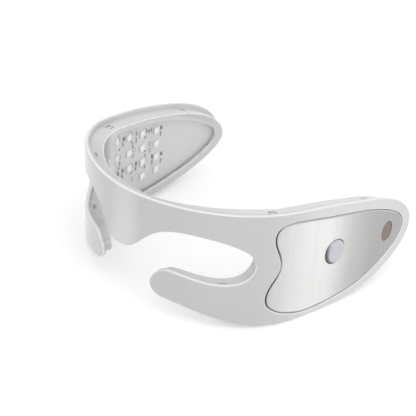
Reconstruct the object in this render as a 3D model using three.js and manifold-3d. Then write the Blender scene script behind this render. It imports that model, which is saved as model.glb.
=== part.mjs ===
// LED eye massager: a wrap-around light visor worn like glasses, with the eyes left open.
// A white gloss shell runs from tail to tail, with a brow bridge, a nose lobe and a prong under each eye.
// A clear light tray snaps on inside it and holds light boards, a battery, motors and the controls.
// Millimetres, +Z up. The wearer looks along -Y and +X is the wearer's left, where the button is.
//
// Every wall is laid out flat first: x runs along the unrolled outer face, from the middle of the brow
// towards the left tail, y is the depth from the outer face inwards, and z is the height.
// wrap() then bends the flat solid round the head. Rigid pieces are seated on the bent face by seat().

import * as THREE from 'three';
import { mergeVertices } from 'three/addons/utils/BufferGeometryUtils.js';
import Module from 'manifold-3d';

const wasm = await Module();
wasm.setup();

// Outer face in plan: three arcs, from the middle of the brow to the tail of each arm
const BROW_RADIUS = 83.4;
const BROW_ARC = 53.9;
const CHEEK_RADIUS = 63.2;
const CHEEK_ARC = 46.7;
const ARM_RADIUS = 378;

// Unrolled length of one half, and full height
const HALF_LENGTH = 202;
const SHELL_HEIGHT = 82.2;

// All walls lean outwards towards the bottom, and the plan above is true at the lean level
const LEAN_SHARE = 0.068;
const LEAN_LEVEL_SHARE = 0.582;

// The nose lobe flares forwards below its top level
const NOSE_FLARE = 5;
const NOSE_FLARE_REACH = 42;
const NOSE_FLARE_SHARES = [[0.75, 0], [0.65, 0.36], [0.52, 1]];

// The tray is shallower at the nose than on the arms
const NOSE_THINNING = 5.2;
const THIN_START_SHARE = 0.025;
const THIN_END_SHARE = 0.42;

// The pose on a table: the visor tips back until its mass is over the lowest point of the arms
const REST_PITCH = THREE.MathUtils.degToRad(7.5);

// Bending columns: close together on the brow and cheeks, wide on the nearly straight arms.
// The button lies in the middle of one of the wide spans
const FRONT_STEPS = 16;
const ARM_STEP = 16;
const ARM_STEPS_TO_BUTTON = 1.5;

// Points closer than these are one point, in a bent wall and in a new solid
const SNAP = 0.004;
const MERGE_DISTANCE = 0.001;

// Shell
const SHELL_THICKNESS = 2.8;
const SHELL_ROUNDING = 1;
const SEAT_GAP = 0.3;
const OVERRUN = 2;

// Clear light tray: inset from the shell's edge, with a rim and recessed panels
const TRAY_INSET = 2.4;
const TRAY_DEPTH = 12.5;
const TRAY_WALL = 1.4;
const TRAY_ROUNDING = 0.7;
const PANEL_STEP = 1.4;
const TRAY_START = SHELL_THICKNESS + SEAT_GAP;
const TRAY_CEILING = TRAY_DEPTH - TRAY_WALL;
const PANEL_CEILING = TRAY_CEILING - PANEL_STEP;

// Snap hooks on the shell, in windows in the tray's wall
const HOOK_WIDTH = 4.4;
const HOOK_THICKNESS = 1;
const HOOK_NOSE_START = 5.4;
const HOOK_NOSE_HEIGHT = 1.2;
const HOOK_NOSE_REACH = 1.4;
const HOOK_GAP = 0.6;
const WINDOW_CLEARANCE = 0.4;

// Polished plates in the shell's recesses, on adhesive tape
const RECESS_DEPTH = 1.7;
const PLATE_START = 0.15;
const PLATE_THICKNESS = 0.8;
const PLATE_GAP = 0.45;
const TAPE_THICKNESS = 0.3;
const TAPE_INSET = 3;
const TAPE_SLACK = RECESS_DEPTH - PLATE_START - PLATE_THICKNESS - TAPE_THICKNESS;
const TAPE_START = PLATE_START + PLATE_THICKNESS + TAPE_SLACK / 2;

// Power button and its switch
const BUTTON_ALONG_SHARE = 0.644;
const BUTTON_LEVEL_SHARE = 0.44;
const BUTTON_RADIUS = 7.1;
const BUTTON_PROUD = 1.3;
const BUTTON_ROUNDING = 0.9;
const BUTTON_GAP = 0.4;
const BUTTON_TRAVEL = 0.5;
const FLANGE_WIDTH = 1.6;
const FLANGE_THICKNESS = 0.7;
const FLANGE_START = SHELL_THICKNESS + SEAT_GAP;
const STEM_RADIUS = 1.6;
const STEM_LENGTH = 0.6;
const PLUNGER_RADIUS = 1.4;
const PLUNGER_LENGTH = 1.3;
const PLUNGER_GAP = 0.3;
const SWITCH_SIZE = 5.2;
const SWITCH_HEIGHT = 1.6;
const SWITCH_FLOOR = 0.3;

// Light boards in the arms
const BOARD_THICKNESS = 0.8;
const BOARD_MARGIN = 1.2;
const LED_HEIGHT = 0.9;
const LED_SIZE = 4.6;
const LED_LENS_RADIUS = 1.8;
const LED_LENS_DEPTH = 0.3;
const LED_START = PANEL_CEILING - SEAT_GAP - LED_HEIGHT;
const BOARD_START = LED_START - SEAT_GAP - BOARD_THICKNESS;
const LED_FIRST_SHARE = 0.478;
const LED_PITCH_ALONG = 13.6;
const LED_FIRST_PITCH_DOWN = 12.4;
const LED_LAST_PITCH_DOWN = 10;
const LED_TOP_MARGIN = 7.5;
const LED_COLUMN_COUNTS = [2, 3, 4, 4];

// Light strips in the prongs
const EYE_BOARD_START = 5.6;
const EYE_BOARD_THICKNESS = 1.2;
const EYE_BOARD_WIDTH = 8;
const EYE_LED_GAP = 0.45;
const EYE_POST_GAP = 0.5;
const EYE_LED_PLACE_SHARES = [0.3, 0.6, 0.9];

// Posts that carry the boards
const POST_RADIUS = 1.5;
const POST_EMBED = 0.6;

// Vibration motors in the cheeks
const MOTOR_ALONG_SHARE = 0.366;
const MOTOR_LEVEL_SHARE = 0.285;
const MOTOR_RADIUS = 2.2;
const MOTOR_LENGTH = 8;
const MOTOR_GAP = 0.45;
const MOTOR_HOLE_RADIUS = 0.9;
const MOTOR_HOLE_DEPTH = 2;
const MOTOR_DEPTH = 6;
const SHAFT_RADIUS = 0.5;
const SHAFT_ENTRY = 1.5;
const WEIGHT_RADIUS = 1.9;
const WEIGHT_LENGTH = 3.2;
const WEIGHT_GAP = 0.8;
const CRADLE_LENGTH = 5;
const CRADLE_WALL = 1.2;

// Battery, in the right arm
const BATTERY_ALONG_SHARE = 0.668;
const BATTERY_LEVEL_SHARE = 0.411;
const BATTERY_LENGTH = 36;
const BATTERY_WIDTH = 20;
const BATTERY_THICKNESS = 3.6;
const BATTERY_CORNER = 2.5;
const BATTERY_ROUNDING = 0.8;

// Control board and charging socket, at the left tail
const CONTROL_ALONG_SHARE = 0.827;
const CONTROL_LEVEL_SHARE = 0.31;
const CONTROL_LENGTH = 36;
const CONTROL_WIDTH = 19;
const CONTROL_CORNER = 2;
const CHIP_LENGTH = 7;
const CHIP_HEIGHT = 1;
const PORT_ALONG_SHARE = 0.7155;
const PORT_WIDTH = 8.9;
const PORT_THICKNESS = 2.9;
const PORT_LENGTH = 7.3;
const PORT_CORNER = 1.2;
const PORT_WALL = 0.5;
const PORT_MOUTH_DEPTH = 6;
const TONGUE_WIDTH = 6.2;
const TONGUE_THICKNESS = 0.6;
const TONGUE_LENGTH = 4.6;

// Status window and its light, at the left tail
const STATUS_ALONG_SHARE = 0.873;
const STATUS_LEVEL_SHARE = 0.326;
const STATUS_WIDTH = 9.6;
const STATUS_HEIGHT = 11.8;
const STATUS_TILT = THREE.MathUtils.degToRad(-14);
const STATUS_GAP = 0.25;
const STATUS_LIGHT_HOLE = 2.2;
const STATUS_LIGHT_SIZE = 2;
const STATUS_LIGHT_HEIGHT = 0.8;

// Flat cable over the brow
const RIBBON_START = TRAY_START + SEAT_GAP;
const RIBBON_THICKNESS = 0.4;
const RIBBON_INSET = 6.2;
const RIBBON_WIDTH = 3;
const RIBBON_END_SHARE = 0.46;

// Outlines as shares of the half length and of the height.
// Half of the shell: along the top edge to the tail, back along the bottom to the prong's tip,
// round the eye opening and down to the nose lobe
const SHELL_SHARES = [
  [0.124, 0.999], [0.228, 0.988], [0.327, 0.966], [0.421, 0.931], [0.535, 0.869], [0.634, 0.808],
  [0.733, 0.731], [0.822, 0.652], [0.886, 0.579], [0.936, 0.501], [0.975, 0.411], [0.995, 0.332],
  [1.000, 0.259], [0.990, 0.192], [0.960, 0.128], [0.906, 0.068], [0.822, 0.019], [0.723, 0.000],
  [0.614, 0.017], [0.495, 0.056], [0.406, 0.092], [0.327, 0.140], [0.248, 0.202], [0.183, 0.251],
  [0.144, 0.270], [0.116, 0.287], [0.099, 0.324], [0.093, 0.369], [0.098, 0.411], [0.110, 0.454],
  [0.128, 0.489], [0.151, 0.501], [0.183, 0.491], [0.228, 0.467], [0.272, 0.448], [0.312, 0.444],
  [0.347, 0.457], [0.371, 0.493], [0.384, 0.545], [0.386, 0.594], [0.373, 0.652], [0.342, 0.712],
  [0.297, 0.763], [0.248, 0.793], [0.198, 0.806], [0.155, 0.798], [0.122, 0.770], [0.095, 0.727],
  [0.072, 0.677], [0.052, 0.632], [0.033, 0.605], [0.012, 0.597],
];

// Polished plate: along its top edge to the tail, back along the bottom and up the wavy front edge
const PLATE_SHARES = [
  [0.448, 0.793], [0.465, 0.816], [0.490, 0.818], [0.554, 0.786], [0.644, 0.732], [0.743, 0.657],
  [0.802, 0.602], [0.856, 0.540], [0.901, 0.477], [0.941, 0.399], [0.962, 0.320], [0.960, 0.253],
  [0.939, 0.195], [0.891, 0.139], [0.827, 0.091], [0.762, 0.058], [0.698, 0.049], [0.634, 0.054],
  [0.564, 0.073], [0.515, 0.097], [0.475, 0.133], [0.448, 0.165], [0.426, 0.207], [0.413, 0.248],
  [0.410, 0.294], [0.414, 0.344], [0.426, 0.400], [0.443, 0.455], [0.454, 0.506], [0.456, 0.555],
  [0.452, 0.613], [0.446, 0.659], [0.441, 0.706], [0.441, 0.752],
];

// Recessed panel of the light tray, the same way round
const PANEL_SHARES = [
  [0.441, 0.758], [0.455, 0.813], [0.485, 0.821], [0.554, 0.776], [0.644, 0.715], [0.723, 0.652],
  [0.792, 0.584], [0.851, 0.513], [0.906, 0.428], [0.941, 0.353], [0.950, 0.290], [0.936, 0.224],
  [0.896, 0.173], [0.832, 0.131], [0.752, 0.109], [0.663, 0.108], [0.574, 0.131], [0.510, 0.173],
  [0.470, 0.235], [0.452, 0.326], [0.446, 0.436], [0.443, 0.582],
];

// Middle line of the light strip in a prong, from its tip outwards
const EYE_BOARD_SHARES = [[0.143, 0.392], [0.198, 0.369], [0.25, 0.336], [0.295, 0.311]];

// Places of the snap hooks, of the posts behind an arm board and of those behind an eye board
const HOOK_PLACE_SHARES = [
  [0.22, 0.99], [0.455, 0.915], [0.817, 0.656], [0.955, 0.12], [0.832, 0.02], [0.55, 0.035],
  [0.29, 0.165], [0.297, 0.446], [0.26, 0.79],
];
const ARM_POST_SHARES = [[0.478, 0.735], [0.49, 0.29], [0.73, 0.6], [0.772, 0.155]];
const EYE_POST_SHARES = [[0.18, 0.378], [0.265, 0.327]];

// Samples between two points of an outline, and sides of the round pieces
const SHELL_SAMPLES = 1.5;
const OUTLINE_SAMPLES = 2;
const ROUND_SIDES = 24;
const SMALL_SIDES = 8;
const ROUNDING_STEPS = 2;
const CORNER_STEPS = 3;
const KEEP_SHARE = 0.97;

const SIDES = [['left', 1], ['right', -1]];
const PLAN_ARCS = [[BROW_RADIUS, BROW_ARC], [CHEEK_RADIUS, CHEEK_ARC], [ARM_RADIUS, Infinity]];

const FINISHES = {
  shell: { color: 0xe4e5e8, roughness: 0.22, metalness: 0 },
  tray: { color: 0xdfe2e4, roughness: 0.12, metalness: 0, transparent: true, opacity: 0.45 },
  plate: { color: 0xd6d6d4, roughness: 0.12, metalness: 1 },
  tape: { color: 0xb8b8b4, roughness: 0.9, metalness: 0 },
  button: { color: 0xd4d6dc, roughness: 0.35, metalness: 0 },
  board: { color: 0xeceded, roughness: 0.45, metalness: 0 },
  led: { color: 0xf6f6f2, roughness: 0.3, metalness: 0 },
  status: { color: 0xa08d8c, roughness: 0.25, metalness: 0 },
  circuit: { color: 0x2e6b46, roughness: 0.5, metalness: 0 },
  black: { color: 0x2b2b2d, roughness: 0.5, metalness: 0 },
  steel: { color: 0xb9bbbe, roughness: 0.3, metalness: 1 },
  pouch: { color: 0xc9cbd0, roughness: 0.4, metalness: 0.6 },
  ribbon: { color: 0xd9a441, roughness: 0.5, metalness: 0 },
};

// The inward and along directions of the plan, and its point, at a length along the outer face
function planPoint(along) {
  const side = Math.sign(along) || 1;
  let left = Math.abs(along);
  let heading = 0;
  let x = 0;
  let y = 0;
  for (const [radius, arc] of PLAN_ARCS) {
    const turn = Math.min(left, arc) / radius;
    x += radius * (Math.sin(heading + turn) - Math.sin(heading));
    y += radius * (Math.cos(heading) - Math.cos(heading + turn));
    heading += turn;
    left -= Math.min(left, arc);
  }
  const inward = new THREE.Vector3(-side * Math.sin(heading), Math.cos(heading), 0);
  return { point: new THREE.Vector3(side * x, y, 0), inward };
}

function columnPlaces() {
  const armStart = BUTTON_ALONG_SHARE * HALF_LENGTH - ARM_STEPS_TO_BUTTON * ARM_STEP;
  const places = [];
  for (let i = 0; i < FRONT_STEPS; i += 1) {
    places.push((armStart * i) / FRONT_STEPS);
  }
  for (let along = armStart; along < HALF_LENGTH + ARM_STEP; along += ARM_STEP) {
    places.push(along);
  }
  const mirrored = places.slice(1).map((along) => -along);
  return [...mirrored.reverse(), ...places];
}

const COLUMNS = columnPlaces().map((along) => ({ along, ...planPoint(along) }));
const CREASE_LEVELS = NOSE_FLARE_SHARES.slice(0, -1).map(([share]) => share * SHELL_HEIGHT);

function smoothStep(value) {
  const share = THREE.MathUtils.clamp(value, 0, 1);
  return share * share * (3 - 2 * share);
}

// How far the nose lobe stands forward of the plan: straight from one crease level to the next
function noseFlare(along, level) {
  const width = 1 - smoothStep(Math.abs(along) / NOSE_FLARE_REACH);
  for (let i = 1; i < NOSE_FLARE_SHARES.length; i += 1) {
    const [top, topFlare] = NOSE_FLARE_SHARES[i - 1];
    const [bottom, bottomFlare] = NOSE_FLARE_SHARES[i];
    const share = (top - level / SHELL_HEIGHT) / (top - bottom);
    if (share >= 0 && share <= 1) {
      return NOSE_FLARE * width * THREE.MathUtils.lerp(topFlare, bottomFlare, share);
    }
  }
  return 0;
}

// Depths between the flat cable and the tray's ceiling shrink towards the nose
function thinned(along, depth) {
  const start = THIN_START_SHARE * HALF_LENGTH;
  const end = THIN_END_SHARE * HALF_LENGTH;
  const drop = NOSE_THINNING * (1 - smoothStep((Math.abs(along) - start) / (end - start)));
  const squeezeStart = RIBBON_START + RIBBON_THICKNESS;
  return depth - drop * THREE.MathUtils.clamp((depth - squeezeStart) / (TRAY_CEILING - squeezeStart), 0, 1);
}

function columnBefore(along) {
  const index = COLUMNS.findIndex((column) => column.along > along);
  return THREE.MathUtils.clamp((index < 0 ? COLUMNS.length : index) - 1, 0, COLUMNS.length - 2);
}

// A flat place (length along, depth, level) on the bent visor
function bent(along, depth, level) {
  const index = columnBefore(along);
  const [from, to] = [COLUMNS[index], COLUMNS[index + 1]];
  const share = (along - from.along) / (to.along - from.along);
  const inward = from.inward.clone().lerp(to.inward, share);
  const place = from.point.clone().lerp(to.point, share);
  const flare = THREE.MathUtils.lerp(noseFlare(from.along, level), noseFlare(to.along, level), share);
  const thickness = THREE.MathUtils.lerp(thinned(from.along, depth), thinned(to.along, depth), share);
  const lean = LEAN_SHARE * (level - LEAN_LEVEL_SHARE * SHELL_HEIGHT);
  const inside = thickness / Math.hypot(1, LEAN_SHARE);
  place.addScaledVector(inward, inside + lean - flare);
  place.z = level - LEAN_SHARE * inside;
  return place;
}

// The frame of a rigid piece: x along the face, y inwards and z up the leaning wall
function frameAt(along, depth, level) {
  const index = columnBefore(along);
  const run = COLUMNS[index + 1].point.clone().sub(COLUMNS[index].point).normalize();
  const inward = new THREE.Vector3(-run.y, run.x, -LEAN_SHARE).normalize();
  const up = new THREE.Vector3().crossVectors(run, inward);
  return new THREE.Matrix4().makeBasis(run, inward, up).setPosition(bent(along, depth, level));
}

function solidFrom(geometry) {
  const bare = geometry.index ? geometry.toNonIndexed() : geometry.clone();
  bare.deleteAttribute('normal');
  bare.deleteAttribute('uv');
  const merged = mergeVertices(bare, MERGE_DISTANCE);
  const vertProperties = Float32Array.from(merged.attributes.position.array);
  const triVerts = Uint32Array.from(merged.index.array);
  return new wasm.Manifold(new wasm.Mesh({ numProp: 3, vertProperties, triVerts }));
}

function geometryFrom(solid) {
  const { vertProperties, triVerts, numProp } = solid.getMesh();
  const places = [];
  for (let i = 0; i < vertProperties.length; i += numProp) {
    places.push(vertProperties[i], vertProperties[i + 1], vertProperties[i + 2]);
  }
  const geometry = new THREE.BufferGeometry();
  geometry.setAttribute('position', new THREE.Float32BufferAttribute(places, 3));
  geometry.setIndex(Array.from(triVerts));
  return geometry;
}

// The flat solid cut at every plane where the wall bends
function cellsOf(solid) {
  const cells = [];
  let rest = solid;
  for (const { along } of COLUMNS.slice(1)) {
    const [beyond, strip] = rest.splitByPlane([1, 0, 0], along);
    rest = beyond;
    let below = strip;
    for (const level of CREASE_LEVELS) {
      const [above, lower] = below.splitByPlane([0, 0, 1], level);
      cells.push(above);
      below = lower;
    }
    cells.push(below);
  }
  return cells.filter((cell) => !cell.isEmpty());
}

// True where the points lie together in one of the planes that cut the cells
function onOneSeam(points) {
  const near = (axis, value) => points.every((point) => Math.abs(point[axis] - value) < SNAP);
  return COLUMNS.some(({ along }) => near('x', along)) || CREASE_LEVELS.some((level) => near('z', level));
}

// The seam points strictly between the ends of an edge, in order
function seamPointsOn(points, seams, from, to) {
  const line = new THREE.Line3(points[from], points[to]);
  const length = line.distance();
  const nearest = new THREE.Vector3();
  const found = [];
  for (const seam of seams) {
    const share = line.closestPointToPointParameter(points[seam], false);
    const isInside = Math.min(share, 1 - share) * length > SNAP;
    if (isInside && line.at(share, nearest).distanceTo(points[seam]) < SNAP) {
      found.push({ seam, share });
    }
  }
  return found.sort((low, high) => low.share - high.share).map(({ seam }) => seam);
}

// Splits each open edge at the seam points that lie on it, so that neighbouring cells match.
// The spokes of such a split already match each other
function sewn(points, seams, faces) {
  const edges = new Set(faces.flatMap(([a, b, c]) => [`${a} ${b}`, `${b} ${c}`, `${c} ${a}`]));
  const pending = faces.slice();
  const result = [];
  const fanOf = ([from, to, tip]) => {
    const between = seamPointsOn(points, seams, from, to).filter((seam) => seam !== tip);
    return { tip, chain: [from, ...between, to] };
  };
  while (pending.length > 0) {
    const [a, b, c] = pending.pop();
    const open = [[a, b, c], [b, c, a], [c, a, b]].filter(([from, to]) => !edges.has(`${to} ${from}`));
    const fan = open.map(fanOf).find(({ chain }) => chain.length > 2);
    if (fan) {
      const { tip, chain } = fan;
      chain.slice(1, -1).forEach((corner) => edges.add(`${corner} ${tip}`).add(`${tip} ${corner}`));
      chain.slice(1).forEach((corner, i) => pending.push([chain[i], corner, tip]));
    } else {
      result.push([a, b, c]);
    }
  }
  return result;
}

// Bends a flat solid round the head: it is cut into flat cells, and the bent cells are sewn together
function wrap(solid) {
  const points = [];
  const seams = [];
  const faces = [];
  const welded = (point) => {
    const isSeam = onOneSeam([point]);
    const twin = isSeam ? seams.find((seam) => points[seam].distanceTo(point) < SNAP) : undefined;
    if (twin !== undefined) {
      return twin;
    }
    points.push(point);
    if (isSeam) {
      seams.push(points.length - 1);
    }
    return points.length - 1;
  };
  for (const cell of cellsOf(solid)) {
    const geometry = geometryFrom(cell);
    const { position } = geometry.attributes;
    const corners = [];
    for (let i = 0; i < position.count; i += 1) {
      corners.push(welded(new THREE.Vector3().fromBufferAttribute(position, i)));
    }
    for (let i = 0; i < geometry.index.count; i += 3) {
      const [a, b, c] = [0, 1, 2].map((corner) => corners[geometry.index.getX(i + corner)]);
      const isCut = onOneSeam([points[a], points[b], points[c]]);
      if (!isCut && a !== b && b !== c && c !== a) {
        faces.push([a, b, c]);
      }
    }
  }
  const places = points.flatMap((point) => bent(point.x, point.y, point.z).toArray());
  const geometry = new THREE.BufferGeometry();
  geometry.setAttribute('position', new THREE.Float32BufferAttribute(places, 3));
  geometry.setIndex(sewn(points, seams, faces).flat());
  geometry.computeVertexNormals();
  return geometry;
}

function node(name, geometry, finish) {
  const mesh = new THREE.Mesh(geometry, new THREE.MeshStandardMaterial(FINISHES[finish]));
  mesh.name = name;
  return mesh;
}

function seat(mesh, along, depth, level) {
  mesh.applyMatrix4(frameAt(along, depth, level));
  return mesh;
}

// A closed smooth outline through shares of the half length and the height
function outlineFrom(shares, samples) {
  const points = shares.map(([x, z]) => new THREE.Vector3(x * HALF_LENGTH, z * SHELL_HEIGHT, 0));
  const curve = new THREE.CatmullRomCurve3(points, true, 'centripetal');
  const outline = curve.getPoints(shares.length * samples).slice(0, -1);
  return anticlockwise(outline.map((point) => new THREE.Vector2(point.x, point.y)));
}

function anticlockwise(outline) {
  return THREE.ShapeUtils.isClockWise(outline) ? outline.slice().reverse() : outline;
}

function mirrored(outline, side) {
  return anticlockwise(outline.map((point) => new THREE.Vector2(side * point.x, point.y)));
}

// The nearest place on an outline, the way along it there and the way into the piece
function edgeAt(outline, along, level) {
  const place = new THREE.Vector3(along, level, 0);
  const line = new THREE.Line3();
  let nearest = { distance: Infinity };
  outline.forEach((from, i) => {
    const to = outline[(i + 1) % outline.length];
    line.set(new THREE.Vector3(from.x, from.y, 0), new THREE.Vector3(to.x, to.y, 0));
    const found = line.closestPointToPoint(place, true, new THREE.Vector3());
    const distance = found.distanceTo(place);
    if (distance < nearest.distance) {
      const run = to.clone().sub(from).normalize();
      const inward = new THREE.Vector2(-run.y, run.x);
      nearest = { distance, point: new THREE.Vector2(found.x, found.y), run, inward };
    }
  });
  return nearest;
}

// The outline moved inwards by a distance, or outwards by a negative one
function inset(outline, distance) {
  const count = outline.length;
  const moved = outline.map((point, i) => {
    const before = point.clone().sub(outline[(i + count - 1) % count]).normalize();
    const after = outline[(i + 1) % count].clone().sub(point).normalize();
    const middle = before.add(after).normalize();
    const inward = new THREE.Vector2(-middle.y, middle.x);
    const stretch = Math.abs(inward.x * -after.y + inward.y * after.x);
    return point.clone().addScaledVector(inward, distance / stretch);
  });
  const least = Math.abs(distance) * KEEP_SHARE;
  return moved.filter((point) => edgeAt(outline, point.x, point.y).distance > least);
}

// A flat plate of an outline between two depths, with its edges rounded
function slab(outline, start, end, rounding = 0, steps = 1) {
  const geometry = new THREE.ExtrudeGeometry(new THREE.Shape(outline), {
    depth: end - start - 2 * rounding,
    bevelEnabled: rounding > 0,
    bevelThickness: rounding,
    bevelSize: rounding,
    bevelOffset: -rounding,
    bevelSegments: steps,
  });
  geometry.rotateX(Math.PI / 2);
  geometry.translate(0, end - rounding, 0);
  return solidFrom(geometry);
}

// The same plate with only its outer edge rounded, or only its inner one
function frontRounded(outline, start, end, rounding, steps) {
  return slab(outline, start, end + rounding, rounding, steps).trimByPlane([0, -1, 0], -end);
}

function backRounded(outline, start, end, rounding, steps) {
  return slab(outline, start - rounding, end, rounding, steps).trimByPlane([0, 1, 0], start);
}

// A box in the flat layout, set square to the shell's edge
function edgeBlock(edge, width, fromEdge, toEdge, start, end) {
  const geometry = new THREE.BoxGeometry(width, end - start, toEdge - fromEdge);
  geometry.rotateY(-Math.atan2(edge.run.y, edge.run.x));
  const middle = edge.point.clone().addScaledVector(edge.inward, (fromEdge + toEdge) / 2);
  geometry.translate(middle.x, (start + end) / 2, middle.y);
  return solidFrom(geometry);
}

// A round post or hole in the flat layout, from one depth to another
function post(radius, along, level, start, end, sides = SMALL_SIDES) {
  const geometry = new THREE.CylinderGeometry(radius, radius, end - start, sides);
  geometry.translate(along, (start + end) / 2, level);
  return solidFrom(geometry);
}

function placesOn(shares, side) {
  return shares.map(([x, z]) => [side * x * HALF_LENGTH, z * SHELL_HEIGHT]);
}

function roundedRectangle(along, level, length, width, corner) {
  const shape = new THREE.Shape();
  const x = along - length / 2;
  const z = level - width / 2;
  shape.moveTo(x + corner, z);
  shape.lineTo(x + length - corner, z);
  shape.absarc(x + length - corner, z + corner, corner, -Math.PI / 2, 0);
  shape.absarc(x + length - corner, z + width - corner, corner, 0, Math.PI / 2);
  shape.absarc(x + corner, z + width - corner, corner, Math.PI / 2, Math.PI);
  shape.absarc(x + corner, z + corner, corner, Math.PI, 1.5 * Math.PI);
  return anticlockwise(shape.getPoints(CORNER_STEPS).slice(0, -1));
}

function statusOutline(gap) {
  const along = STATUS_ALONG_SHARE * HALF_LENGTH;
  const level = STATUS_LEVEL_SHARE * SHELL_HEIGHT;
  const radii = [STATUS_WIDTH / 2 + gap, STATUS_HEIGHT / 2 + gap];
  const curve = new THREE.EllipseCurve(along, level, ...radii, 0, 2 * Math.PI, false, STATUS_TILT);
  return curve.getPoints(ROUND_SIDES).slice(0, -1);
}

const HALF_SHELL = SHELL_SHARES.map(([x, z]) => [-x, z]).reverse();
const SHELL = outlineFrom([...SHELL_SHARES, ...HALF_SHELL], SHELL_SAMPLES);
const PLATE = outlineFrom(PLATE_SHARES, OUTLINE_SAMPLES);
const PANEL = outlineFrom(PANEL_SHARES, OUTLINE_SAMPLES);
const BUTTON_ALONG = BUTTON_ALONG_SHARE * HALF_LENGTH;
const BUTTON_LEVEL = BUTTON_LEVEL_SHARE * SHELL_HEIGHT;
const HOOK_INSET = TRAY_INSET + TRAY_WALL + HOOK_GAP;
const HOOK_EDGES = SIDES.flatMap(([, side]) => (
  placesOn(HOOK_PLACE_SHARES, side).map(([along, level]) => edgeAt(SHELL, along, level))
));

// A cantilever hook on the shell's inside, with its nose in the tray's window
function snapHook(edge) {
  const root = SHELL_THICKNESS - POST_EMBED;
  const end = HOOK_NOSE_START + HOOK_NOSE_HEIGHT;
  const back = HOOK_INSET + HOOK_THICKNESS;
  const tip = HOOK_INSET - HOOK_NOSE_REACH;
  const arm = edgeBlock(edge, HOOK_WIDTH, HOOK_INSET, back, root, end);
  return arm.add(edgeBlock(edge, HOOK_WIDTH, tip, back, HOOK_NOSE_START, end));
}

function hookWindow(edge) {
  const start = HOOK_NOSE_START - WINDOW_CLEARANCE;
  const end = HOOK_NOSE_START + HOOK_NOSE_HEIGHT + WINDOW_CLEARANCE;
  const width = HOOK_WIDTH + 2 * WINDOW_CLEARANCE;
  return edgeBlock(edge, width, TRAY_INSET - OVERRUN, HOOK_INSET + HOOK_THICKNESS, start, end);
}

// A saddle that carries a motor, open towards the inside
function motorCradle(side) {
  const along = side * MOTOR_ALONG_SHARE * HALF_LENGTH;
  const level = MOTOR_LEVEL_SHARE * SHELL_HEIGHT;
  const start = SHELL_THICKNESS - POST_EMBED;
  const radius = MOTOR_RADIUS + MOTOR_GAP;
  const block = new THREE.BoxGeometry(CRADLE_LENGTH, MOTOR_DEPTH - start, 2 * (radius + CRADLE_WALL));
  block.translate(along, (MOTOR_DEPTH + start) / 2, level);
  const groove = new THREE.CylinderGeometry(radius, radius, 2 * CRADLE_LENGTH, ROUND_SIDES);
  groove.rotateZ(Math.PI / 2);
  groove.translate(along, MOTOR_DEPTH, level);
  return solidFrom(block).subtract(solidFrom(groove));
}

function boardPost(along, level, end) {
  return post(POST_RADIUS, along, level, SHELL_THICKNESS - POST_EMBED, end);
}

// The bore round the button, with some more room round it where a piece stays clear of the bore
function buttonBore(start, end, room = 0) {
  const radius = BUTTON_RADIUS + BUTTON_GAP + room;
  return post(radius, BUTTON_ALONG, BUTTON_LEVEL, start, end, ROUND_SIDES);
}

function outerShell() {
  let body = frontRounded(SHELL, 0, SHELL_THICKNESS, SHELL_ROUNDING, ROUNDING_STEPS);
  for (const [, side] of SIDES) {
    body = body.subtract(slab(mirrored(inset(PLATE, -PLATE_GAP), side), -OVERRUN, RECESS_DEPTH));
    for (const [along, level] of placesOn(ARM_POST_SHARES, side)) {
      body = body.add(boardPost(along, level, BOARD_START - SEAT_GAP));
    }
    for (const [along, level] of placesOn(EYE_POST_SHARES, side)) {
      body = body.add(boardPost(along, level, EYE_BOARD_START - EYE_POST_GAP));
    }
    body = body.add(motorCradle(side));
  }
  for (const edge of HOOK_EDGES) {
    body = body.add(snapHook(edge));
  }
  const reach = SHELL_THICKNESS + OVERRUN;
  body = body.subtract(buttonBore(-OVERRUN, reach));
  const [along, level] = [STATUS_ALONG_SHARE * HALF_LENGTH, STATUS_LEVEL_SHARE * SHELL_HEIGHT];
  body = body.subtract(post(STATUS_LIGHT_HOLE, along, level, 0, reach));
  return node('outer_shell', wrap(body), 'shell');
}

function innerCover() {
  let body = backRounded(inset(SHELL, TRAY_INSET), TRAY_START, TRAY_DEPTH, TRAY_ROUNDING, 1);
  const cavity = inset(SHELL, TRAY_INSET + TRAY_WALL);
  let hollow = slab(cavity, TRAY_START - OVERRUN, TRAY_CEILING);
  for (const [, side] of SIDES) {
    const panel = mirrored(PANEL, side);
    body = body.subtract(slab(panel, PANEL_CEILING + TRAY_WALL, TRAY_DEPTH + OVERRUN));
    hollow = hollow.subtract(slab(inset(panel, -TRAY_WALL), PANEL_CEILING, TRAY_DEPTH));
  }
  body = body.subtract(hollow);
  for (const edge of HOOK_EDGES) {
    body = body.subtract(hookWindow(edge));
  }
  const [halfWidth, halfThickness] = [PORT_WIDTH / 2 + SEAT_GAP, PORT_THICKNESS / 2 + SEAT_GAP];
  body = body.subtract(portBlock(halfWidth, halfThickness, -OVERRUN, TRAY_INSET + TRAY_WALL + OVERRUN));
  return node('inner_cover', wrap(body), 'tray');
}

function mirrorPlate(name, side) {
  let plate = slab(mirrored(PLATE, side), PLATE_START, PLATE_START + PLATE_THICKNESS);
  if (side > 0) {
    const end = PLATE_START + PLATE_THICKNESS + OVERRUN;
    plate = plate.subtract(buttonBore(-OVERRUN, end));
    plate = plate.subtract(slab(statusOutline(STATUS_GAP), -OVERRUN, end));
  }
  return node(`mirror_plate_${name}`, wrap(plate), 'plate');
}

function mirrorTape(name, side) {
  let tape = slab(mirrored(inset(PLATE, TAPE_INSET), side), TAPE_START, TAPE_START + TAPE_THICKNESS);
  if (side > 0) {
    const end = TAPE_START + TAPE_THICKNESS + OVERRUN;
    tape = tape.subtract(buttonBore(-OVERRUN, end, PLATE_GAP));
    tape = tape.subtract(slab(statusOutline(STATUS_GAP + PLATE_GAP), -OVERRUN, end));
  }
  return node(`mirror_tape_${name}`, wrap(tape), 'tape');
}

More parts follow.
